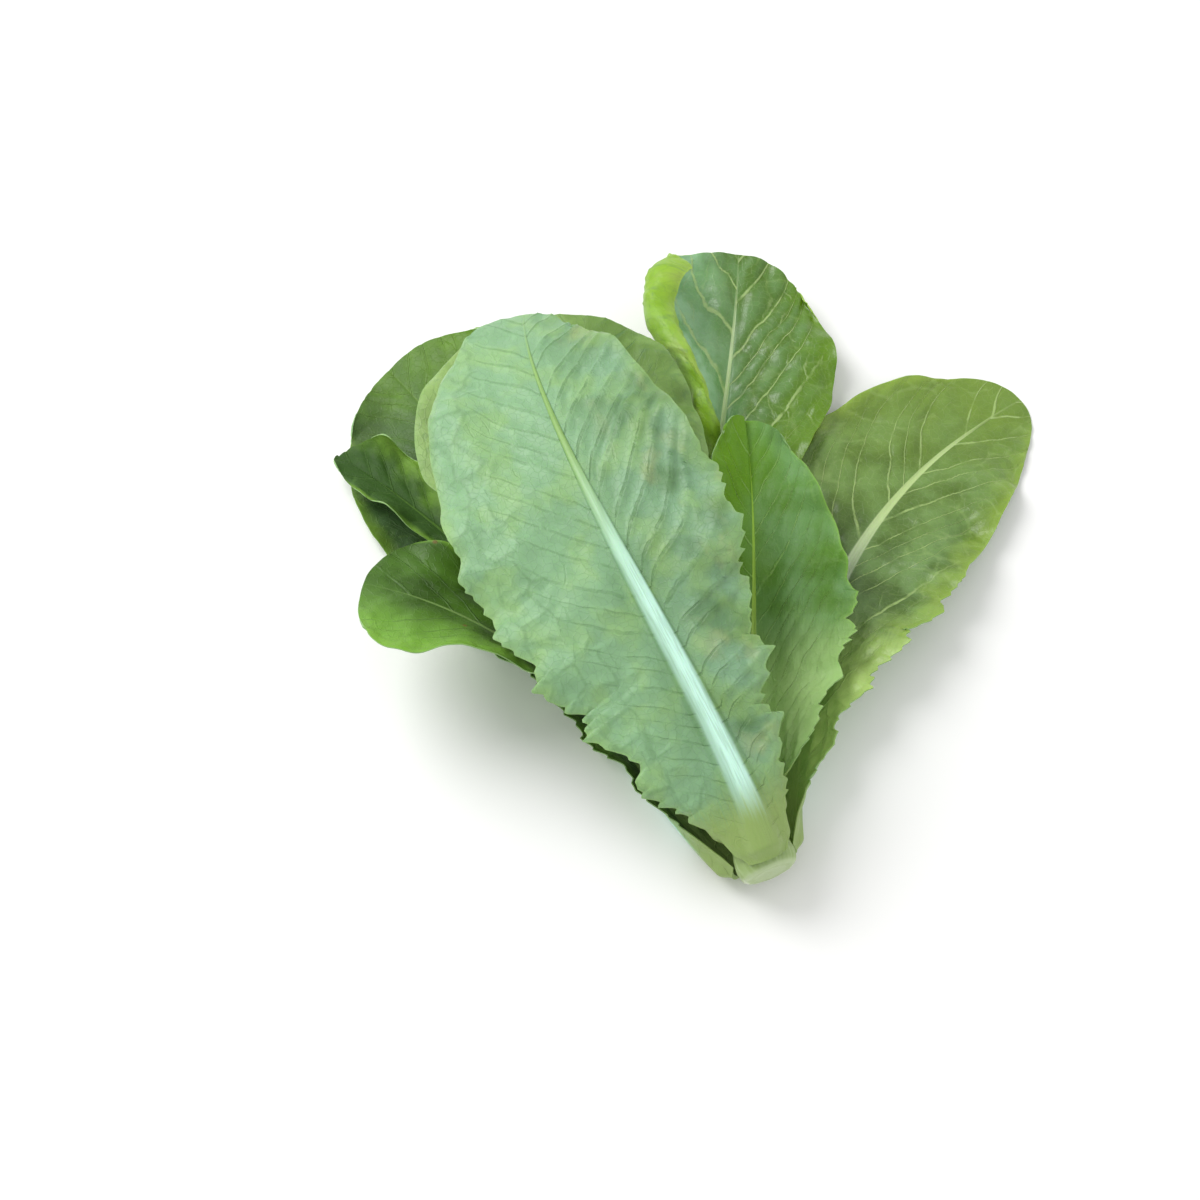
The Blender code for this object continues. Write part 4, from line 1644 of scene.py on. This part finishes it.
@dataclass
class Head:
    """The lettuce head: the stem and every leaf, laid and dressed."""

    stem: Stem = Stem()
    leaves: tuple = tuple(LEAVES)
    effects: list[Effect] = field(default_factory=shared_effects)
    shift: Array = field(default_factory=lambda: np.zeros(3))
    materials: dict = field(default_factory=dict)

    def finish(self, wanted: LeafFinish) -> bpy.types.Material:
        """The material of a finish, made once.

        Args:
            wanted: The finish.

        Returns:
            The material.
        """
        if wanted.name not in self.materials:
            self.materials[wanted.name] = wanted.material(self.effects)
        return self.materials[wanted.name]

    def fit(self, leaf: Leaf, faces: Array) -> Array:
        """The shift from the leaves' rule to the frame, read from one leaf.

        Args:
            leaf: The leaf.
            faces: Its coarse faces.

        Returns:
            The shift, in millimetres.
        """
        low, high = (np.array(corner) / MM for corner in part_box(leaf.node))
        mine = faces.reshape(-1, 3)
        shift = low - mine.min(axis=0)
        off = np.abs(high - mine.max(axis=0) - shift).max()
        log.info("%s: shift %s, off by %.3f mm", leaf.node, np.round(shift, 3), off)
        return shift

    def build(self) -> None:
        """Lays the leaves in order, then builds and dresses every piece."""
        below = Heights()
        lifts = []
        for leaf in self.leaves:
            lift, faces = leaf.lift(self.stem, below)
            lifts.append(lift)
            self.shift = self.fit(leaf, faces)
        for leaf, lift in zip(self.leaves, lifts):
            piece = leaf.build(self.stem, lift, self.shift)
            for finish in leaf.faces:
                piece.data.materials.append(self.finish(finish))
            self.join(piece, leaf.node)
        self.join(self.stem.build(self.shift, CutFinish()), self.stem.node)

    @staticmethod
    def join(piece: bpy.types.Object, node: str) -> None:
        """Puts a piece in the frame in its node's place.

        Args:
            piece: The piece.
            node: The node that it stands for.
        """
        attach(piece, BODY)
        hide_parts(node)
        log.info("%s: %d faces for %s", piece.name, len(piece.data.polygons), node)


@dataclass(frozen=True)
class Studio:
    """A pale floor, soft light and the camera. Places are in millimetres."""

    floor_size: float = 3000.0
    floor: Colour = (0.93, 0.93, 0.92, 1.0)
    sky: float = 0.74
    target: tuple = (-52.3, 92.9, 20.0)   # seen from the stem's foot
    distance: float = 567.0
    elevation: float = 60.0
    lens: float = 50.0
    sensor: float = 36.0
    clip: tuple = (0.01, 20.0)    # metres
    lamps: tuple = (("key", (-540, 300, 740), 640, 6.2), ("fill", (480, -300, 460), 420, 0.4))

    def build_floor(self) -> None:
        """The surface that the head lies on."""
        mesh = bpy.data.meshes.new("floor")
        half = self.floor_size / 2 * MM
        corners = [(-half, -half, 0), (half, -half, 0), (half, half, 0), (-half, half, 0)]
        mesh.from_pydata(corners, [], [(0, 1, 2, 3)])
        made = put("floor", mesh)
        material, graph, shader = new_material("pale_floor", self.floor)
        graph.feed(shader, dict(Base_Color=self.floor, Roughness=0.9))
        mesh.materials.append(material)

    def light(self) -> None:
        """Soft lamps and an even sky."""
        for name, place, size, power in self.lamps:
            lamp = bpy.data.lights.new(name, "AREA")
            lamp.shape, lamp.size, lamp.energy = "DISK", size * MM, power
            aim(put(name, lamp), Vector(place) * MM, -Vector(place))
        world = bpy.data.worlds.new("studio")
        world.use_nodes = True
        Graph(world.node_tree).feed(world.node_tree.nodes["Background"],
                                    dict(Color=WHITE, Strength=self.sky))
        bpy.context.scene.world = world

    def look(self, shift: Array) -> None:
        """The camera.

        Args:
            shift: From the leaves' rule to the frame, in millimetres.
        """
        target = Vector(np.array(self.target) + shift) * MM
        rise = np.radians(self.elevation)
        back = Vector((0, -np.cos(rise), np.sin(rise)))
        data = bpy.data.cameras.new("camera")
        data.lens, data.sensor_width = self.lens, self.sensor
        data.clip_start, data.clip_end = self.clip
        camera = put("camera", data)
        aim(camera, target + back * self.distance * MM, -back)
        bpy.context.scene.camera = camera


def main() -> None:
    """Builds the head and the studio."""
    logging.basicConfig(level=logging.INFO, format="%(name)s: %(message)s")
    bpy.context.scene.view_settings.view_transform = "Standard"
    head = Head()
    head.build()
    studio = Studio()
    studio.build_floor()
    studio.light()
    studio.look(head.shift)


if __name__ == "__main__":
    main()
